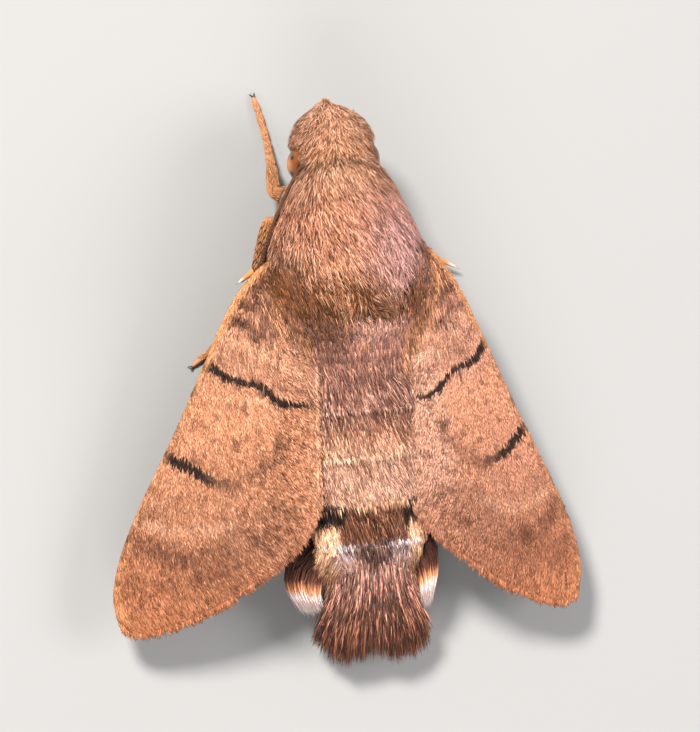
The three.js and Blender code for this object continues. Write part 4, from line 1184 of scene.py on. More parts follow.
def tail_point(share, y, depth):
    """A place in the tail: share is 1 at its left edge and -1 at its right, depth is under its upper face."""
    tables = (TAIL_LEVEL, TAIL_HALF, TAIL_DROOP, TAIL_SHIFT)
    level, half, droop, shift = (straight(table, y)[..., 0] for table in tables)
    return np.stack((shift + share * half, y, level - droop * share**2 - depth), axis=-1)


def tail_vanes(share, root_y, tip_y, depths, random):
    """Long flat scales that follow the tail from a root to a tip; depths are those of root and tip."""
    count = len(share)
    lean = random.normal(0, 0.035, count)

    def point(part):
        depth = depths[0] + (depths[1] - depths[0]) * part - 0.12 * math.sin(math.pi * part)
        spread = 1 - TAIL_WAIST * (1 - part)
        return tail_point(share * spread + lean * part, root_y + (tip_y - root_y) * part, depth)

    paths = stations(point, ((0,), (1 / 3,), (2 / 3,), (1,)))
    strands = np.column_stack((share * 4.5, 0.15 * root_y, depths[0] + 0 * share))
    spark = lock_shade(strands, random, 0.7)
    flat = np.zeros(count)
    rusty = 0.6 * (random.uniform(0, 1, count) < 0.3) * ramp(tip_y, 27.5, 29.5)
    tips = blend(body_colour(paths[:, 3], flat), RUST, rusty)
    # Dark roots and brighter tips: painted shade among the scales of the tail
    colours = (body_colour(paths[:, 1], flat) * 0.25 * spark, within_range(tips * 1.25 * spark))
    outward = np.column_stack((0.5 * share, np.full(count, 0.3), np.ones(count)))
    unwrap = np.column_stack((0.5 + share * 0.2, root_y / (BODY_LENGTH + 1)))
    return vane_set(paths, outward, random.uniform(0.05, 0.1, count), colours, unwrap)


def rump_vanes(seed):
    """The upper tier of long scales, which flows from the last ring over the root of the fan."""
    random = np.random.default_rng(seed)
    turn, along = spread_pairs(RUMP_VANES, seed)
    root_y = RUMP_ROOTS[0] + (RUMP_ROOTS[1] - RUMP_ROOTS[0]) * along
    tip_y = root_y + random.uniform(0.9, 1.9, RUMP_VANES)
    return tail_vanes(turn * 2 - 1, root_y, tip_y, (0.2, random.uniform(-0.1, 0.12, RUMP_VANES)), random)


def fan_vanes(seed):
    """The tail fan, from its upper scales to its lower ones."""
    random = np.random.default_rng(seed)
    turn, deep = spread_pairs(FAN_VANES, seed)
    share = turn * 2 - 1
    tip_x = TAIL_SHIFT[-1][1] + share * 3.2
    ragged = 0.36 * noise(np.column_stack((share * 6, deep, 0 * deep)), 0.26, 63)
    tip_y = straight(FAN_END, tip_x)[:, 0] + 0.12 + ragged - 0.95 * random.uniform(0, 1, FAN_VANES) ** 1.3
    root_y = random.uniform(*FAN_ROOTS, FAN_VANES)
    return tail_vanes(share, root_y, tip_y, (0.25 + 1.2 * deep, 0.05 + 1.1 * deep), random)


def skirt_vanes(name, seed):
    """Golden strands that hang from the pale patch of a flank over the root of its tuft."""
    side, (near, far) = SIDES[name], SKIRT[name]
    random = np.random.default_rng(seed)
    count = SKIRT_VANES
    low, along = spread_pairs(count, seed)
    angle = side * (1.0 + 0.5 * low)
    root_y = 23.2 + 1.2 * along
    root = body_point(root_y, angle, 0.0)
    tip_y = root_y + random.uniform(1.0, 1.8, count)
    tip_x = near + (far - near) * low - 0.4 * ramp(tip_y, 25, 26.4) + random.normal(0, 0.06, count)
    tip = np.column_stack((side * tip_x, tip_y, 4.4 - 0.8 * low - 0.6 * (tip_y - 24.6)))
    via = np.column_stack((0.5 * (root[:, 0] + tip[:, 0]), root_y + 0.6, root[:, 2] + 0.1))
    paths = bent_vanes(root, via, tip, np.linspace(0, 1, 4))
    width = random.uniform(0.05, 0.09, count)
    spark = lock_shade(root, random, 0.4)
    # Dark roots: painted shade among the strands
    colours = (body_colour(root, angle) * 0.4 * spark, within_range(linear(GOLD) * 1.2 * spark))
    unwrap = np.column_stack((0.5 + side * (0.13 + 0.1 * low), root_y / (BODY_LENGTH + 1)))
    return vane_set(paths, (0.8 * side, 0.2, 0.7), width, colours, unwrap)


def tail(material):
    """The fan, the upper tier over its root, and the tufts on both flanks."""
    finished(tuft_object("tail_fan_vanes", fan_vanes(71)), material, ["tail_fan"])
    skirts = [skirt_vanes(name, 76 + i) for i, name in enumerate(SIDES)]
    finished(tuft_object("rump_tuft", rump_vanes(72), *skirts), material)
    for i, name in enumerate(SIDES):
        finished(tuft_object(f"flank_tuft_{name}", flank_vanes(name, 73 + i)), material)


# Wings
def wing_height(a, back):
    """Level of the wing's middle; back is how far a place lies behind the front line."""
    behind = back + 0.3 + 0.066 * a
    across = np.clip(behind / 8.5, 0, 1)
    return 5.2 - 0.16 * a + (0.66 - 0.022 * a) * behind + 0.25 * np.sin(math.pi * across)


def wing_point(name, a, b, height):
    """A point at some height over the middle of a wing."""
    side, size = SIDES[name], WING_SET[name]
    sweep = math.radians(size["sweep"])
    back = b * size["spread"]
    x = size["x"] + a * math.sin(sweep) - back * math.cos(sweep)
    y = size["y"] + a * math.cos(sweep) + back * math.sin(sweep)
    return np.stack((side * x, y, wing_height(a, back) + size["lift"] + height), axis=-1)


def wing_patch(costa, termen, inner):
    """Places inside a wing's outline from shares u, out along it, and v, back across it."""
    front, outer, hind = (smooth_path(line, OUTLINE_STEPS) for line in (costa, termen, inner))
    share = np.linspace(0, 1, OUTLINE_STEPS)

    def read(line, at):
        return np.stack([np.interp(at, share, column) for column in line.T], axis=-1)

    def place(u, v):
        uu, vv = np.asarray(u)[..., None], np.asarray(v)[..., None]
        between = read(front, u) * (1 - vv) + read(hind, u) * vv
        across = (front[0] * (1 - vv) + hind[0] * vv) * (1 - uu) + read(outer, v) * uu
        corners = front[0] * (1 - uu) * (1 - vv) + hind[0] * (1 - uu) * vv
        corners = corners + outer[0] * uu * (1 - vv) + outer[-1] * uu * vv
        return between + across - corners

    return place


def wing_top(height, v):
    """Level of the upper face, which bends down to the abdomen along the hind edge."""
    return height - HIND_EDGE_BEND * ramp(v, 0.6, 1.0)


def chord_at(a):
    """Breadth of the fore wing at each distance from its root."""
    return straight(FORE_CHORD, a)[..., 0]


def vein_relief(veins, u, v, a):
    """Height of the veins over the membrane."""
    height = np.zeros_like(u)
    for at, start in veins:
        distance = np.abs(v - at) * np.maximum(chord_at(a), 1.5)
        rise = VEIN_RISE * (1 - 0.5 * u) * dip(distance, 0, VEIN_HALF)
        height = np.maximum(height, rise * ramp(u, start - 0.02, start + 0.04))
    return height


def fore_colour(name, a, b, u, v):
    """The fore wing's colours: its ground, its marks, then its edges."""
    spot = np.stack((a, b, np.full_like(a, 3.0 * SIDES[name])), axis=-1)
    ragged, wander = noise(spot, 0.16, 31), noise(spot, 0.7, 32)
    colour = wing_ground(name, a, b, v, spot, ragged, wander)
    colour = wing_marks(name, colour, a, b, spot, ragged, wander)
    return wing_edges(name, colour, a, b, u, v, spot)


def wing_ground(name, a, b, v, spot, ragged, wander):
    """Ground colour with the painted pink light on the right wing, the olive root and the brown dust."""
    left = SIDES[name] > 0
    cloud = mottle(spot, 1.3, 33)
    colour = linear(straight(WING_GROUND, a)) * (1 + 0.2 * cloud + 0.05 * ragged)[..., None]
    # Painted light: the right wing is tinted and blushed pinker, as the light from the right makes it
    if not left:
        colour = colour * np.array(RIGHT_LIGHT_TINT)
        colour = blend(colour, RIGHT_LIGHT_BLUSH, 0.5 * ramp(v, 0.5, 0.75) * band(a, 4.5, 6, 11.5, 14.5))
    place = wing_point(name, a, b, 0)
    colour = corner_shade(colour, place[..., :2], 0.35 * wander, 0.6)
    base = (1 - ramp(a, 3.0, 6.5)) * (1.0 if left else 0.2)
    dust = ramp(noise(spot, 0.2, 36) + 0.45 * cloud + 0.25 * ramp(b, 1.0, 4.0) + 0.3 * base, 0.35, 0.85)
    return blend(colour, MARK_BROWN, (0.55 + 0.25 * base) * dust)


def wing_marks(name, colour, a, b, spot, ragged, wander):
    """The broken brown marks, then the two thin dark lines over them."""
    forward = RIGHT_FORWARD * (1 - ramp(b, -1.5, 0.6)) * ramp(a, 5, 6) * (SIDES[name] < 0)
    flat = np.stack((a + forward, b), axis=-1)
    broken = 0.75 + 0.5 * noise(spot, 0.35, 37)
    for shade, half, strength, line in WING_SHADES:
        near = line_distance(flat, line) + 0.4 * half * wander + 0.35 * half * ragged
        colour = blend(colour, shade, strength * broken * (1 - ramp(near, 0.3 * half, 1.7 * half)))
    for line, half, fade in LINE_SIZES:
        near = line_distance(flat, WING_LINES[name][line]) + 0.09 * ragged + 0.05 * wander
        strength = 0.97 * (1 - 0.7 * ramp(b, fade - 1.9, fade))
        width = half * (1.3 - 0.13 * np.clip(b, -1, 5))
        colour = blend(colour, LINE_BLACK, strength * (1 - ramp(near, width, width + 0.07)))
    return colour


def wing_edges(name, colour, a, b, u, v, spot):
    """The edges: rusty along the front and outer ones, pale hair along the hind one."""
    behind = v * chord_at(a)
    rim = (1 - ramp(behind, 0.14, 0.3)) * (0.9 - 0.6 * ramp(a, 5.5, 8))
    colour = blend(colour, COSTA_RIM, rim * ramp(a, 0.5, 1.5))
    dashes = (1 - ramp(behind, 0.12, 0.4)) * ramp(noise(spot, 0.3, 38), 0.2, 0.5) * ramp(a, 7, 8)
    colour = blend(colour, MARK_BROWN, 0.5 * dashes)
    colour = blend(colour, WING_RIM, 0.5 * ramp(u * 21.5, 20.4, 21.4))
    colour = blend(colour, WING_PALE, 0.35 * ramp(v, 0.55, 0.9) * band(a, 3.9, 4.9, 6.2, 7.2))
    hind = ramp(v, 0.86, 0.97) * (1 - ramp(u, 0.8, 0.95))
    streak = 0.6 + 0.4 * noise(np.stack((a * 0.35, b * 3, spot[..., 2]), axis=-1), 0.35, 39)
    return blend(colour, WING_PALE, (0.3 if SIDES[name] > 0 else 0.7) * hind * streak)


def hind_colour(name, a, b, u, _):
    """The hind wing's markings: copper, brown at the root and along the outer edge."""
    spot = np.stack((a, b, np.full_like(a, 2.0 * SIDES[name])), axis=-1)
    colour = linear(HIND_COPPER) * (1 + 0.12 * mottle(spot, 1.0, 41))[..., None]
    colour = blend(colour, HIND_BROWN, 0.7 * ramp(u + 0.04 * noise(spot, 0.4, 42), 0.78, 0.95))
    return blend(colour, HIND_BROWN, 0.5 * (1 - ramp(u, 0.05, 0.3)))


def wing_skin(kind, name, wing, material):
    """The thin closed skin of a wing, with its veins raised on its upper face."""
    rows, columns = wing["steps"]
    u, v = np.meshgrid(np.linspace(0, 1, rows), np.linspace(0, 1, columns), indexing="ij")
    a, b = np.moveaxis(wing["patch"](u, v), -1, 0)
    top = wing_top(wing["top"], v)
    upper = wing_point(name, a, b, top + vein_relief(wing["veins"], u, v, a))
    under = wing_point(name, a, b, top - MEMBRANE * (1 - 0.4 * u))
    colours = wing["colour"](name, a, b, u, v)
    pale = blend(colours * 0.55, WING_BELOW, 0.45)
    count = rows * columns
    index = np.arange(count).reshape(rows, columns)
    rim = np.concatenate((index[0], index[1:, -1], index[-1, -2::-1], index[-2:0:-1, 0]))
    after = np.roll(rim, -1)
    walls = np.concatenate(
        (np.column_stack((rim, rim + count, after)), np.column_stack((after, rim + count, after + count)))
    )
    # The left wing is a mirror image of the right one, so its triangles are turned round
    turn = -SIDES[name]
    face, _ = grid_faces(rows, columns, False)
    top_faces, under_faces, walls = face[:, ::turn], face[:, ::-turn] + count, walls[:, ::turn]
    uvs = np.stack([np.stack((start + u * WING_UNWRAP, v), axis=-1) for start in (0, 1 - WING_UNWRAP)])
    made = mesh_object(
        f"{kind}_wing_{name}_skin",
        np.stack((upper, under)).reshape(-1, 3),
        np.concatenate((top_faces, under_faces, walls)),
        np.stack((colours * 0.8, pale)).reshape(-1, 3),
        uvs.reshape(-1, 2),
        np.concatenate((top_faces, under_faces, walls % count)),
    )
    finished(made, material, [f"{kind}_wing_{name}"])


def turned(ways, angle):
    """Directions in a plane, each turned by an angle."""
    (x, y), cos, sin = ways.T, np.cos(angle), np.sin(angle)
    return np.column_stack((x * cos - y * sin, x * sin + y * cos))


def wing_paths(name, flat, ways, long, base, lift, steps):
    """Paths of scales that lie over a wing: base is the level of their roots, lift how much they rise."""

    def point(share, rise):
        there = flat + ways * (long * share)[:, None]
        return wing_point(name, *there.T, base + rise * lift)

    return stations(point, steps)


def wing_scale_set(name, wing, count, seed, size, first=0.0, last=1.0):
    """Scales that lie over the upper face of a wing and point along it to its outer edge."""
    left, patch = SIDES[name] > 0, wing["patch"]
    random = np.random.default_rng(seed)
    u, v = spread_pairs(count * 2, seed)
    u = first + (last - first) * u
    chord = chord_at(patch(u, v)[:, 0])
    kept = random.uniform(0, chord.max(), len(u)) < chord * 1.02
    u, v = u[kept][:count], v[kept][:count]
    number = len(u)
    flat = patch(u, v)
    ahead = np.minimum(u + 0.02, 1)
    ways = unit(patch(ahead, v) - patch(ahead - 0.02, v))
    lean = 0.25 + 0.5 * v if left else 0.1 + 0.2 * v
    turn = lean * (1 - 0.8 * ramp(v, 0.9, 0.97)) + random.normal(0, 0.17, number)
    long = size[0] * random.uniform(0.7, 1.35, number)
    edge = np.minimum(np.minimum(v, 1 - v) * chord_at(flat[:, 0]) / 0.12, 1)
    base = wing_top(wing["top"], v) + vein_relief(wing["veins"], u, v, flat[:, 0])
    lift = random.uniform(0.3, 1.0, number) * (0.4 + 0.6 * edge)
    steps = ((0, -0.01), (0.55, 0.05), (1, 0.08))
    paths = wing_paths(name, flat, turned(ways, turn), long, base, lift, steps)
    colour = wing["colour"](name, *flat.T, u, v)
    colours = tuft_colours(colour, paths[:, 0], random, 0.16 if left else 0.09, root=0.4, tip=1.2)
    wide = size[1] * random.uniform(0.7, 1.3, number)
    unwrap = np.column_stack((u * WING_UNWRAP, v))
    return tuft_arrays(paths, UP, wide, 0.4, colours, unwrap, shape=(0.8, 1.0))


def edge_fringe(name, wing, seed):
    """The fringe of long scales past the outer edge of a fore wing."""
    random = np.random.default_rng(seed)
    count, patch = FRINGE_SCALES, wing["patch"]
    v = np.clip((np.arange(count) + random.uniform(-0.5, 0.5, count)) / count, 0, 1)
    layer = random.integers(0, 4, count)
    rim, near_rim = np.ones(count), np.full(count, 0.97)
    edge = patch(rim, v)
    out = unit(edge - patch(near_rim, v))
    along = unit(patch(rim, np.clip(v + 0.01, 0, 1)) - patch(rim, np.clip(v - 0.01, 0, 1)))
    place = np.column_stack((v * 26, 0 * v, SIDES[name] * rim))
    ragged = noise(place, 0.55, 47)
    long = np.clip(0.2 + 0.16 * ragged, 0.03, 1) * random.uniform(0.6, 1.2, count)
    lean = 0.35 * noise(place, 0.8, 48) + random.normal(0, 0.12, count)
    root = edge - out * (0.2 + 0.13 * layer[:, None])
    ways = unit(out + along * lean[:, None])
    base = wing_top(wing["top"], v) + 0.04 - 0.045 * layer
    paths = wing_paths(name, root, ways, 0.22 + long, base, 1, ((0, 0), (0.5, -0.015), (1, -0.03)))
    start = fore_colour(name, *root.T, near_rim, v)
    spark = np.exp(random.normal(0, 0.28, count))[:, None]
    colours = (start * 0.8 * spark, blend(start, FRINGE, 0.5) * 1.1 * spark)
    width = random.uniform(0.05, 0.09, count)
    unwrap = np.column_stack((np.full(count, WING_UNWRAP - 0.002), v))
    return tuft_arrays(paths, UP, width, 0.4, colours, unwrap, shape=(0.8, 1.0))


def inner_hairs(name, wing, seed):
    """Long hair-like scales along the hind edge and over the root of a fore wing."""
    random = np.random.default_rng(seed)
    count, patch = INNER_HAIRS, wing["patch"]
    u = random.uniform(0, 0.85, count)
    v = 1 - np.abs(random.normal(0, 0.07, count))
    near_root = random.uniform(0, 1, count) < 0.5
    u = np.where(near_root, np.abs(random.normal(0, 0.14, count)), u)
    v = np.clip(np.where(near_root, random.uniform(0.2, 1, count), v), 0, 0.965)
    at_edge = v > 0.9
    flat = patch(u, v)
    long = random.uniform(0.6, 1.3, count) * (1 - 0.35 * ramp(u, 0.3, 0.8)) * np.where(at_edge, 0.65, 1)
    ways = unit(patch(np.clip(u + 0.03, 0, 1), v) - patch(np.clip(u - 0.03, 0, 1), v))
    turn = 0.1 + 0.15 * noise(np.column_stack((flat, 0 * u)), 0.9, 49) + random.normal(0, 0.12, count)
    turn = (turn + (0.3 if SIDES[name] > 0 else 0.05)) * np.where(at_edge, 0.9, 1)
    base = wing_top(wing["top"], v)
    paths = wing_paths(name, flat, turned(ways, turn), long, base, 1, ((0, 0), (0.5, 0.1), (1, 0.1)))
    colour = blend(fore_colour(name, *flat.T, u, v), WING_PALE, 0.12)
    colours = tuft_colours(colour, paths[:, 0], random, 0.26, root=0.4, tip=1.25)
    width = random.uniform(0.05, 0.085, count)
    return tuft_arrays(paths, UP, width, 0.5, colours, np.column_stack((u * WING_UNWRAP, v)))


def wings(skin, scales):
    """Four wings, each a skin with its scales; the coat of a fore wing is two pieces."""
    fore = {
        "patch": wing_patch(FORE_COSTA, FORE_TERMEN, FORE_INNER),
        "veins": FORE_VEINS,
        "colour": fore_colour,
        "top": FORE_TOP,
        "steps": (190, 80),
    }
    hind = {
        "patch": wing_patch(HIND_COSTA, HIND_TERMEN, HIND_INNER),
        "veins": HIND_VEINS,
        "colour": hind_colour,
        "top": FORE_TOP - HIND_DROP,
        "steps": (80, 40),
    }
    for i, name in enumerate(SIDES):
        wing_skin("fore", name, fore, skin)
        wing_skin("hind", name, hind, skin)
        for k, extra in enumerate((inner_hairs(name, fore, 95 + i), edge_fringe(name, fore, 97 + i))):
            seed = 81 + 4 * i + k
            half = wing_scale_set(name, fore, WING_SCALES // 2, seed, FORE_SCALE, k / 2, (k + 1) / 2)
            piece = tuft_object(f"fore_wing_{name}_scales_{k + 1}", half, extra)
            finished(piece, scales)
        copper = wing_scale_set(name, hind, HIND_SCALES, 99 + i, HIND_SCALE)
        finished(tuft_object(f"hind_wing_{name}_scales", copper), scales)


# Head
def eye(name, material):
    """A domed eye, flat where it is set into the head."""
    side = SIDES[name]
    edge = math.acos((EYE["inner"] - EYE["x"]) / EYE["radius"])
    rings, sides = EYE_STEPS
    turn = np.arange(sides) / sides * 2 * math.pi
    pp, tt = np.meshgrid(np.linspace(0.02, edge, rings), turn, indexing="ij")
    ways = np.stack((np.cos(pp) * side, np.sin(pp) * np.cos(tt), side * np.sin(pp) * np.sin(tt)), axis=-1)
    middle = np.array((side * EYE["x"], EYE["y"], EYE["z"]))
    made = tube_object(f"eye_{name}_dome", middle + EYE["radius"] * ways, eye_colour(ways, side))
    finished(made, material, [f"eye_{name}"])


def eye_colour(ways, side):
    """Amber, with the dark spots that seem to look back at the viewer."""
    out, _, up = np.moveaxis(ways, -1, 0)
    colour = linear(EYE_COLOURS["ground"]) * (1 + 0.6 * mottle(ways * 3, 0.8, 51))[..., None]
    colour = blend(colour, EYE_COLOURS["top"], 0.8 * ramp(up, 0.75, 0.98))
    colour = blend(colour, EYE_COLOURS["side"], 0.6 * ramp(out * side, 0.8, 1.0))
    for (x, y, z), size in EYE_SPOTS:
        far = np.linalg.norm(ways - unit(np.array((x * side, y, z))), axis=-1)
        colour = blend(colour, EYE_COLOURS["spot"], 0.95 * (1 - ramp(far, size * 0.6, size * 1.4)))
    return blend(colour, EYE_COLOURS["below"], 0.6 * (1 - ramp(up, -0.5, 0.1)))


def palp(name, skin, coat):
    """A scaly palp, cream below and buff above, with its coat pointing forward."""
    side = SIDES[name]
    path = smooth_path([(side * x, y, z) for x, y, z in PALP_PATH], PALP_STEPS[0])
    places = np.linspace(0, 1, len(path))
    radius = PALP_THICK * straight(PALP_PROFILE, places)[:, 0]
    rings = swept_rings(path, radius, PALP_STEPS[1], 1.45)
    rings[..., 0] = side * np.maximum(side * rings[..., 0], 0.02)
    made = tube_object(f"palp_{name}_skin", rings, palp_colour(rings) * 0.7)
    finished(made, skin, [f"palp_{name}"])
    random = np.random.default_rng(55 + side)
    at, round_it = spread_pairs(PALP_TUFTS, 57 + side)
    tube, turn = (path, places, radius), round_it * 2 * math.pi

    def point(ahead, rise):
        return on_tube(tube, at + ahead, turn, rise * random.uniform(0.6, 1.2, PALP_TUFTS), 1.4)[0]

    paths = stations(point, ((0, -0.01), (0.06, 0.05), (0.12, 0.08)))
    paths[:, 2] += np.maximum(at + 0.12 - 1, 0)[:, None] * np.array((-0.4 * side, -1.6, 0.8))
    paths[..., 0] = side * np.maximum(side * paths[..., 0], 0.0)
    outward = on_tube(tube, at + 0.12, turn, 0)[1]
    colour = palp_colour(paths[:, 1])
    spark = np.exp(random.normal(0, 0.3, PALP_TUFTS))[:, None]
    width = random.uniform(0.04, 0.065, PALP_TUFTS)
    # Dark roots and brighter tips: painted shade among the palp's scales
    colours = (colour * 0.4 * spark, colour * 1.2 * spark)
    tufts = tuft_arrays(paths, outward, width, 0.5, colours, np.column_stack((round_it, at)))
    finished(tuft_object(f"palp_{name}_coat", tufts), coat)


def palp_colour(points):
    below = 1 - ramp(points[..., 2] + 0.25 * noise(points, 0.5, 52), 3.3, 4.0)
    return blend(np.broadcast_to(linear(PALP_BUFF), points.shape), PALP_CREAM, below)


def antenna(name, material):
    """A ringed feeler that thickens to a club and ends in a small hook."""
    path = smooth_path(ANTENNAE[name], ANTENNA_STEPS)
    share = np.linspace(0, 1, len(path))[:, None]
    ringed = np.sin(share * 2 * math.pi * ANTENNA_RINGS)
    radius = straight(ANTENNA_PROFILE, share[:, 0])[:, 0] * (1 + 0.09 * ringed[:, 0])
    rings = swept_rings(path, radius, ANTENNA_SIDES)
    dark = ramp(share, 0.55, 0.9) * (1 - 0.5 * ramp(share, 0.93, 1))
    below = ramp(-np.sin(np.arange(ANTENNA_SIDES) / ANTENNA_SIDES * 2 * math.pi), 0.1, 0.8)
    colour = linear(ANTENNA_COLOURS[0]) * (0.75 + 0.35 * (0.5 + 0.5 * ringed))[..., None]
    colour = blend(np.broadcast_to(colour, rings.shape), ANTENNA_COLOURS[1], 0.7 * dark)
    colour = blend(colour, ANTENNA_COLOURS[2], 0.5 * below * (1 - dark))
    finished(tube_object(f"antenna_{name}_shaft", rings, colour), material, [f"antenna_{name}"])


def tongue(material):
    """The tongue, coiled like a watch spring under the head."""
    share = np.linspace(0, 1, TONGUE["steps"])
    turn = math.radians(100) - share * TONGUE["turns"] * 2 * math.pi
    radius = TONGUE["radius"] * (1 - 0.8 * share)
    sway = 0.02 * np.sin(share * 9)
    coil = np.column_stack((sway, TONGUE["y"] + radius * np.cos(turn), TONGUE["z"] + radius * np.sin(turn)))
    lead = smooth_path([*TONGUE_ROOT, coil[0]], 14)[:-1]
    path = np.concatenate((lead, coil))
    along = np.linspace(0, 1, len(path))
    ringed = 1 + 0.05 * np.sin(along * 2 * math.pi * TONGUE["rings"])
    size = TONGUE["thick"] * (1.05 - 0.5 * along) * ringed
    rings = swept_rings(path, size, TONGUE["sides"], across=(1.0, 0, 0))
    colour = np.broadcast_to(linear(TONGUE_BROWN), rings.shape) * (1 - 0.3 * along)[:, None, None]
    finished(tube_object("tongue_coil", rings, colour), material, ["tongue"])


# Legs
def leg_shape(name):
    """Path and radius of a leg from hip to claws."""
    limb, thick = LEGS[name], LEG_THICK[name.split("_")[0]]
    joints = [limb["hip"], limb["knee"], limb["ankle"]]
    paths, radii = [], []
    for start, end, size, (rise, count, profile) in zip(joints, joints[1:], thick, LEG_SEGMENTS):
        middle = np.add(start, end) / 2 + (0, 0, rise)
        paths.append(smooth_path([start, middle, end], count)[:-1])
        radii.append(size * straight(profile, np.linspace(0, 1, count)[:-1])[:, 0])
    share = np.linspace(0, 1, FOOT_RINGS)
    knots = np.abs((share * 5) % 1 - 0.5) * 2
    paths.append(smooth_path([limb["ankle"], *limb["foot"]], FOOT_RINGS))
    radii.append(FOOT_THICK * straight(FOOT_PROFILE, share)[:, 0] * (1.05 - 0.3 * knots**4))
    return np.concatenate(paths), np.concatenate(radii)


def leg_colour(points):
    colour = linear(LEG_BUFF) * (1 + 0.15 * mottle(points, 0.5, 53))[..., None]
    return blend(colour, LEG_PALE, 0.5 * (1 - ramp(points[..., 2], 0.2, 2.2)))


def leg(i, name, material):
    """A leg's skin, and its scales with spurs and claws."""
    path, radius = leg_shape(name)
    rings = swept_rings(path, radius)
    rings[..., 2] = np.maximum(rings[..., 2], 0.0)
    skin = tube_object(f"{name}_leg_skin", rings, leg_colour(rings))
    finished(skin, material, [f"{name}_{part}" for part in ("femur", "tibia", "foot")])
    tufts = (leg_fur(path, radius, i), *spurs_and_claws(LEGS[name], path))
    finished(tuft_object(f"{name}_leg_scales", *tufts), material)


def leg_fur(path, radius, i):
    """The scales of a leg, long on the thigh and close on the foot."""
    random = np.random.default_rng(130 + i)
    at, round_it = spread_pairs(LEG_TUFTS, 140 + i)
    at = 0.04 + at**0.8 * 0.9
    lengths = np.concatenate(([0], np.cumsum(np.linalg.norm(np.diff(path, axis=0), axis=1))))
    tube, turn = (path, lengths / lengths[-1], radius), round_it * 2 * math.pi
    slim = ramp(at, 0.5, 0.62)
    long = (0.6 - 0.34 * slim) * random.uniform(0.7, 1.2, LEG_TUFTS) / lengths[-1]
    high = (0.055 - 0.035 * slim) * random.uniform(0.5, 1.2, LEG_TUFTS)

    def point(ahead, rise):
        return on_tube(tube, at + ahead * long, turn, high * rise)[0]

    paths = stations(point, ((0, -0.02), (0.5, 0.7), (1, 1.0)))
    paths[..., 2] = np.maximum(paths[..., 2], 0.02)
    outward = on_tube(tube, at + long, turn, 0)[1]
    colour = leg_colour(paths[:, 1]) * np.exp(random.normal(0, 0.12, LEG_TUFTS))[:, None]
    width = random.uniform(0.06, 0.1, LEG_TUFTS)
    return tuft_arrays(paths, outward, width, 0.5, (colour, colour * 1.12), np.column_stack((round_it, at)))


def spurs_and_claws(limb, path):
    """The spurs on the shin and the two hooked claws of the foot."""
    ankle, knee, end = np.array(limb["ankle"]), np.array(limb["knee"]), path[-1]
    ahead = unit(end - path[-4])
    aside = unit(np.cross(ahead, UP))
    made = []
    for spur_tip in limb["spurs"]:
        root = ankle + 0.12 * (knee - ankle)
        for shift, reach, width in SPUR_PAIR:
            tip = root + (np.array(spur_tip) - root) * reach + shift
            spur = horn(root, (root + tip) / 2 + (0, 0, 0.08), tip, width, [SPUR_ROOT, SPUR_TIP])
            made.append(recoloured(spur, [SPUR_ROOT] * 4 + [SPUR_TIP] * 2, np.ones(1), 8))
    for turn in (-1, 1):
        tip = end + 0.24 * ahead + 0.16 * turn * aside - (0, 0, end[2] - 0.03)
        via = end + 0.14 * ahead + 0.1 * turn * aside + (0, 0, 0.06)
        made.append(horn(end, via, tip, 0.09, CLAW_COLOURS))
    return made


def horn(root, via, tip, width, colours):
    """A curved spike with the colours of its root and tip."""
    line = bent_vanes(root[None], via[None], tip[None], np.linspace(0, 1, 6))
    middle = np.array([[0.5, 0.5]])
    return tuft_arrays(line, UP, [width], 1.0, linear(colours)[:, None], middle, sides=8, shape=HORN_SHAPE)


# Surroundings
def make_floor():
    bpy.ops.mesh.primitive_plane_add(size=FLOOR_SIZE)
    floor = bpy.context.object
    floor.name = "floor"
    material = bpy.data.materials.new("floor")
    material.use_nodes = True
    shader = material.node_tree.nodes["Principled BSDF"]
    set_inputs(shader, {"Base Color": FLOOR_GREY, "Roughness": FLOOR_ROUGHNESS})
    floor.data.materials.append(material)


def area_light(name, place, size, power, colour):
    light = bpy.data.lights.new(name, "AREA")
    light.shape = "DISK"
    light.size = size
    light.energy = power * LIGHT
    light.color = colour
    made = bpy.data.objects.new(name, light)
    made.location = place
    made.rotation_euler = Vector(place).to_track_quat("Z", "Y").to_euler()
    bpy.context.collection.objects.link(made)


def make_lights():
    """Three soft lights and a pale sky."""
    for light in LIGHTS:
        area_light(*light)
    world = bpy.data.worlds.new("studio")
    world.use_nodes = True
    background = world.node_tree.nodes["Background"]
    set_inputs(background, {"Color": SKY_COLOUR, "Strength": SKY_POWER * LIGHT})
    bpy.context.scene.world = world
    bpy.context.scene.view_settings.view_transform = "Standard"


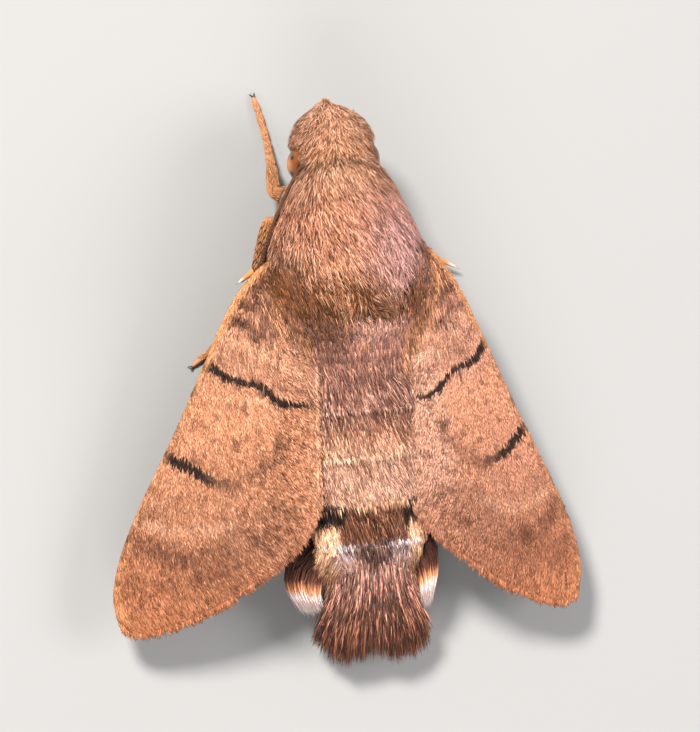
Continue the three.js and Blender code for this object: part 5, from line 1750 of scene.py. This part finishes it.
def make_camera():
    """The camera stands where the photo was taken, with the moth's tilt in the frame."""
    camera = bpy.data.cameras.new("camera")
    camera.sensor_fit = "HORIZONTAL"
    camera.sensor_width = SENSOR
    camera.lens = SENSOR * CAMERA_DISTANCE / FRAME_WIDTH
    camera.clip_start, camera.clip_end = CAMERA_CLIP
    roll, tilt = CAMERA_ROLL, CAMERA_TILT
    backward = Vector((math.sin(roll), 0, math.cos(roll)))
    across = Vector((-math.cos(roll), 0, math.sin(roll)))
    along = Vector((0, 1, 0))
    right = math.sin(tilt) * along + math.cos(tilt) * across
    up = -(math.cos(tilt) * along - math.sin(tilt) * across)
    target = (Vector(CAMERA_TARGET) + Vector(ORIGIN)) * MM
    matrix = Matrix((right, up, backward)).transposed().to_4x4()
    matrix.translation = target + backward * CAMERA_DISTANCE * MM
    made = bpy.data.objects.new("camera", camera)
    made.matrix_world = matrix
    bpy.context.collection.objects.link(made)
    bpy.context.scene.camera = made


def body(materials):
    hair, scales = materials["coat"], materials["abdomen_scales"]
    body_skin(materials["skin"])
    body_coat("head_coat", HEAD_HAIR, HEAD_TUFTS, 0.15, 4.6, 21, hair)
    body_coat("thorax_coat_1", THORAX_HAIR, THORAX_TUFTS, 3.7, 8.6, 31, hair)
    body_coat("thorax_coat_2", THORAX_HAIR, THORAX_TUFTS, 8.4, 13.5, 32, hair)
    cape_coat(hair)
    body_coat("abdomen_coat_1", ABDOMEN_HAIR, ABDOMEN_TUFTS, 12.8, 19.4, 33, scales)
    body_coat("abdomen_coat_2", ABDOMEN_HAIR, ABDOMEN_TUFTS, 19.2, 25.4, 34, scales)
    ring_teeth(scales)


def main():
    make_camera()
    make_floor()
    make_lights()
    materials = make_materials()
    body(materials)
    tail(materials["tail_scales"])
    wings(materials["wing_skin"], materials["wing_scales"])
    for name in SIDES:
        eye(name, materials["eye"])
        palp(name, materials["skin"], materials["coat"])
        antenna(name, materials["antenna"])
    tongue(materials["tongue"])
    for i, name in enumerate(LEGS):
        leg(i, name, materials["leg_scales"])


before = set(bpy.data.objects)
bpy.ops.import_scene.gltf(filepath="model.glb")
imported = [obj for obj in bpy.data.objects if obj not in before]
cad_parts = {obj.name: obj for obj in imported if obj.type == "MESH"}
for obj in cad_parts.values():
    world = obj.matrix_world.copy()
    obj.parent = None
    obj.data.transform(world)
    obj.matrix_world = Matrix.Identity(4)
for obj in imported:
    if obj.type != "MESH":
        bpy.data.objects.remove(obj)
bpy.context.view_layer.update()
thorax_low, thorax_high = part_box("thorax")
ORIGIN = np.array(((thorax_low[0] + thorax_high[0]) / 2 / MM, thorax_low[1] / MM - THORAX_FRONT, 0.0))
main()
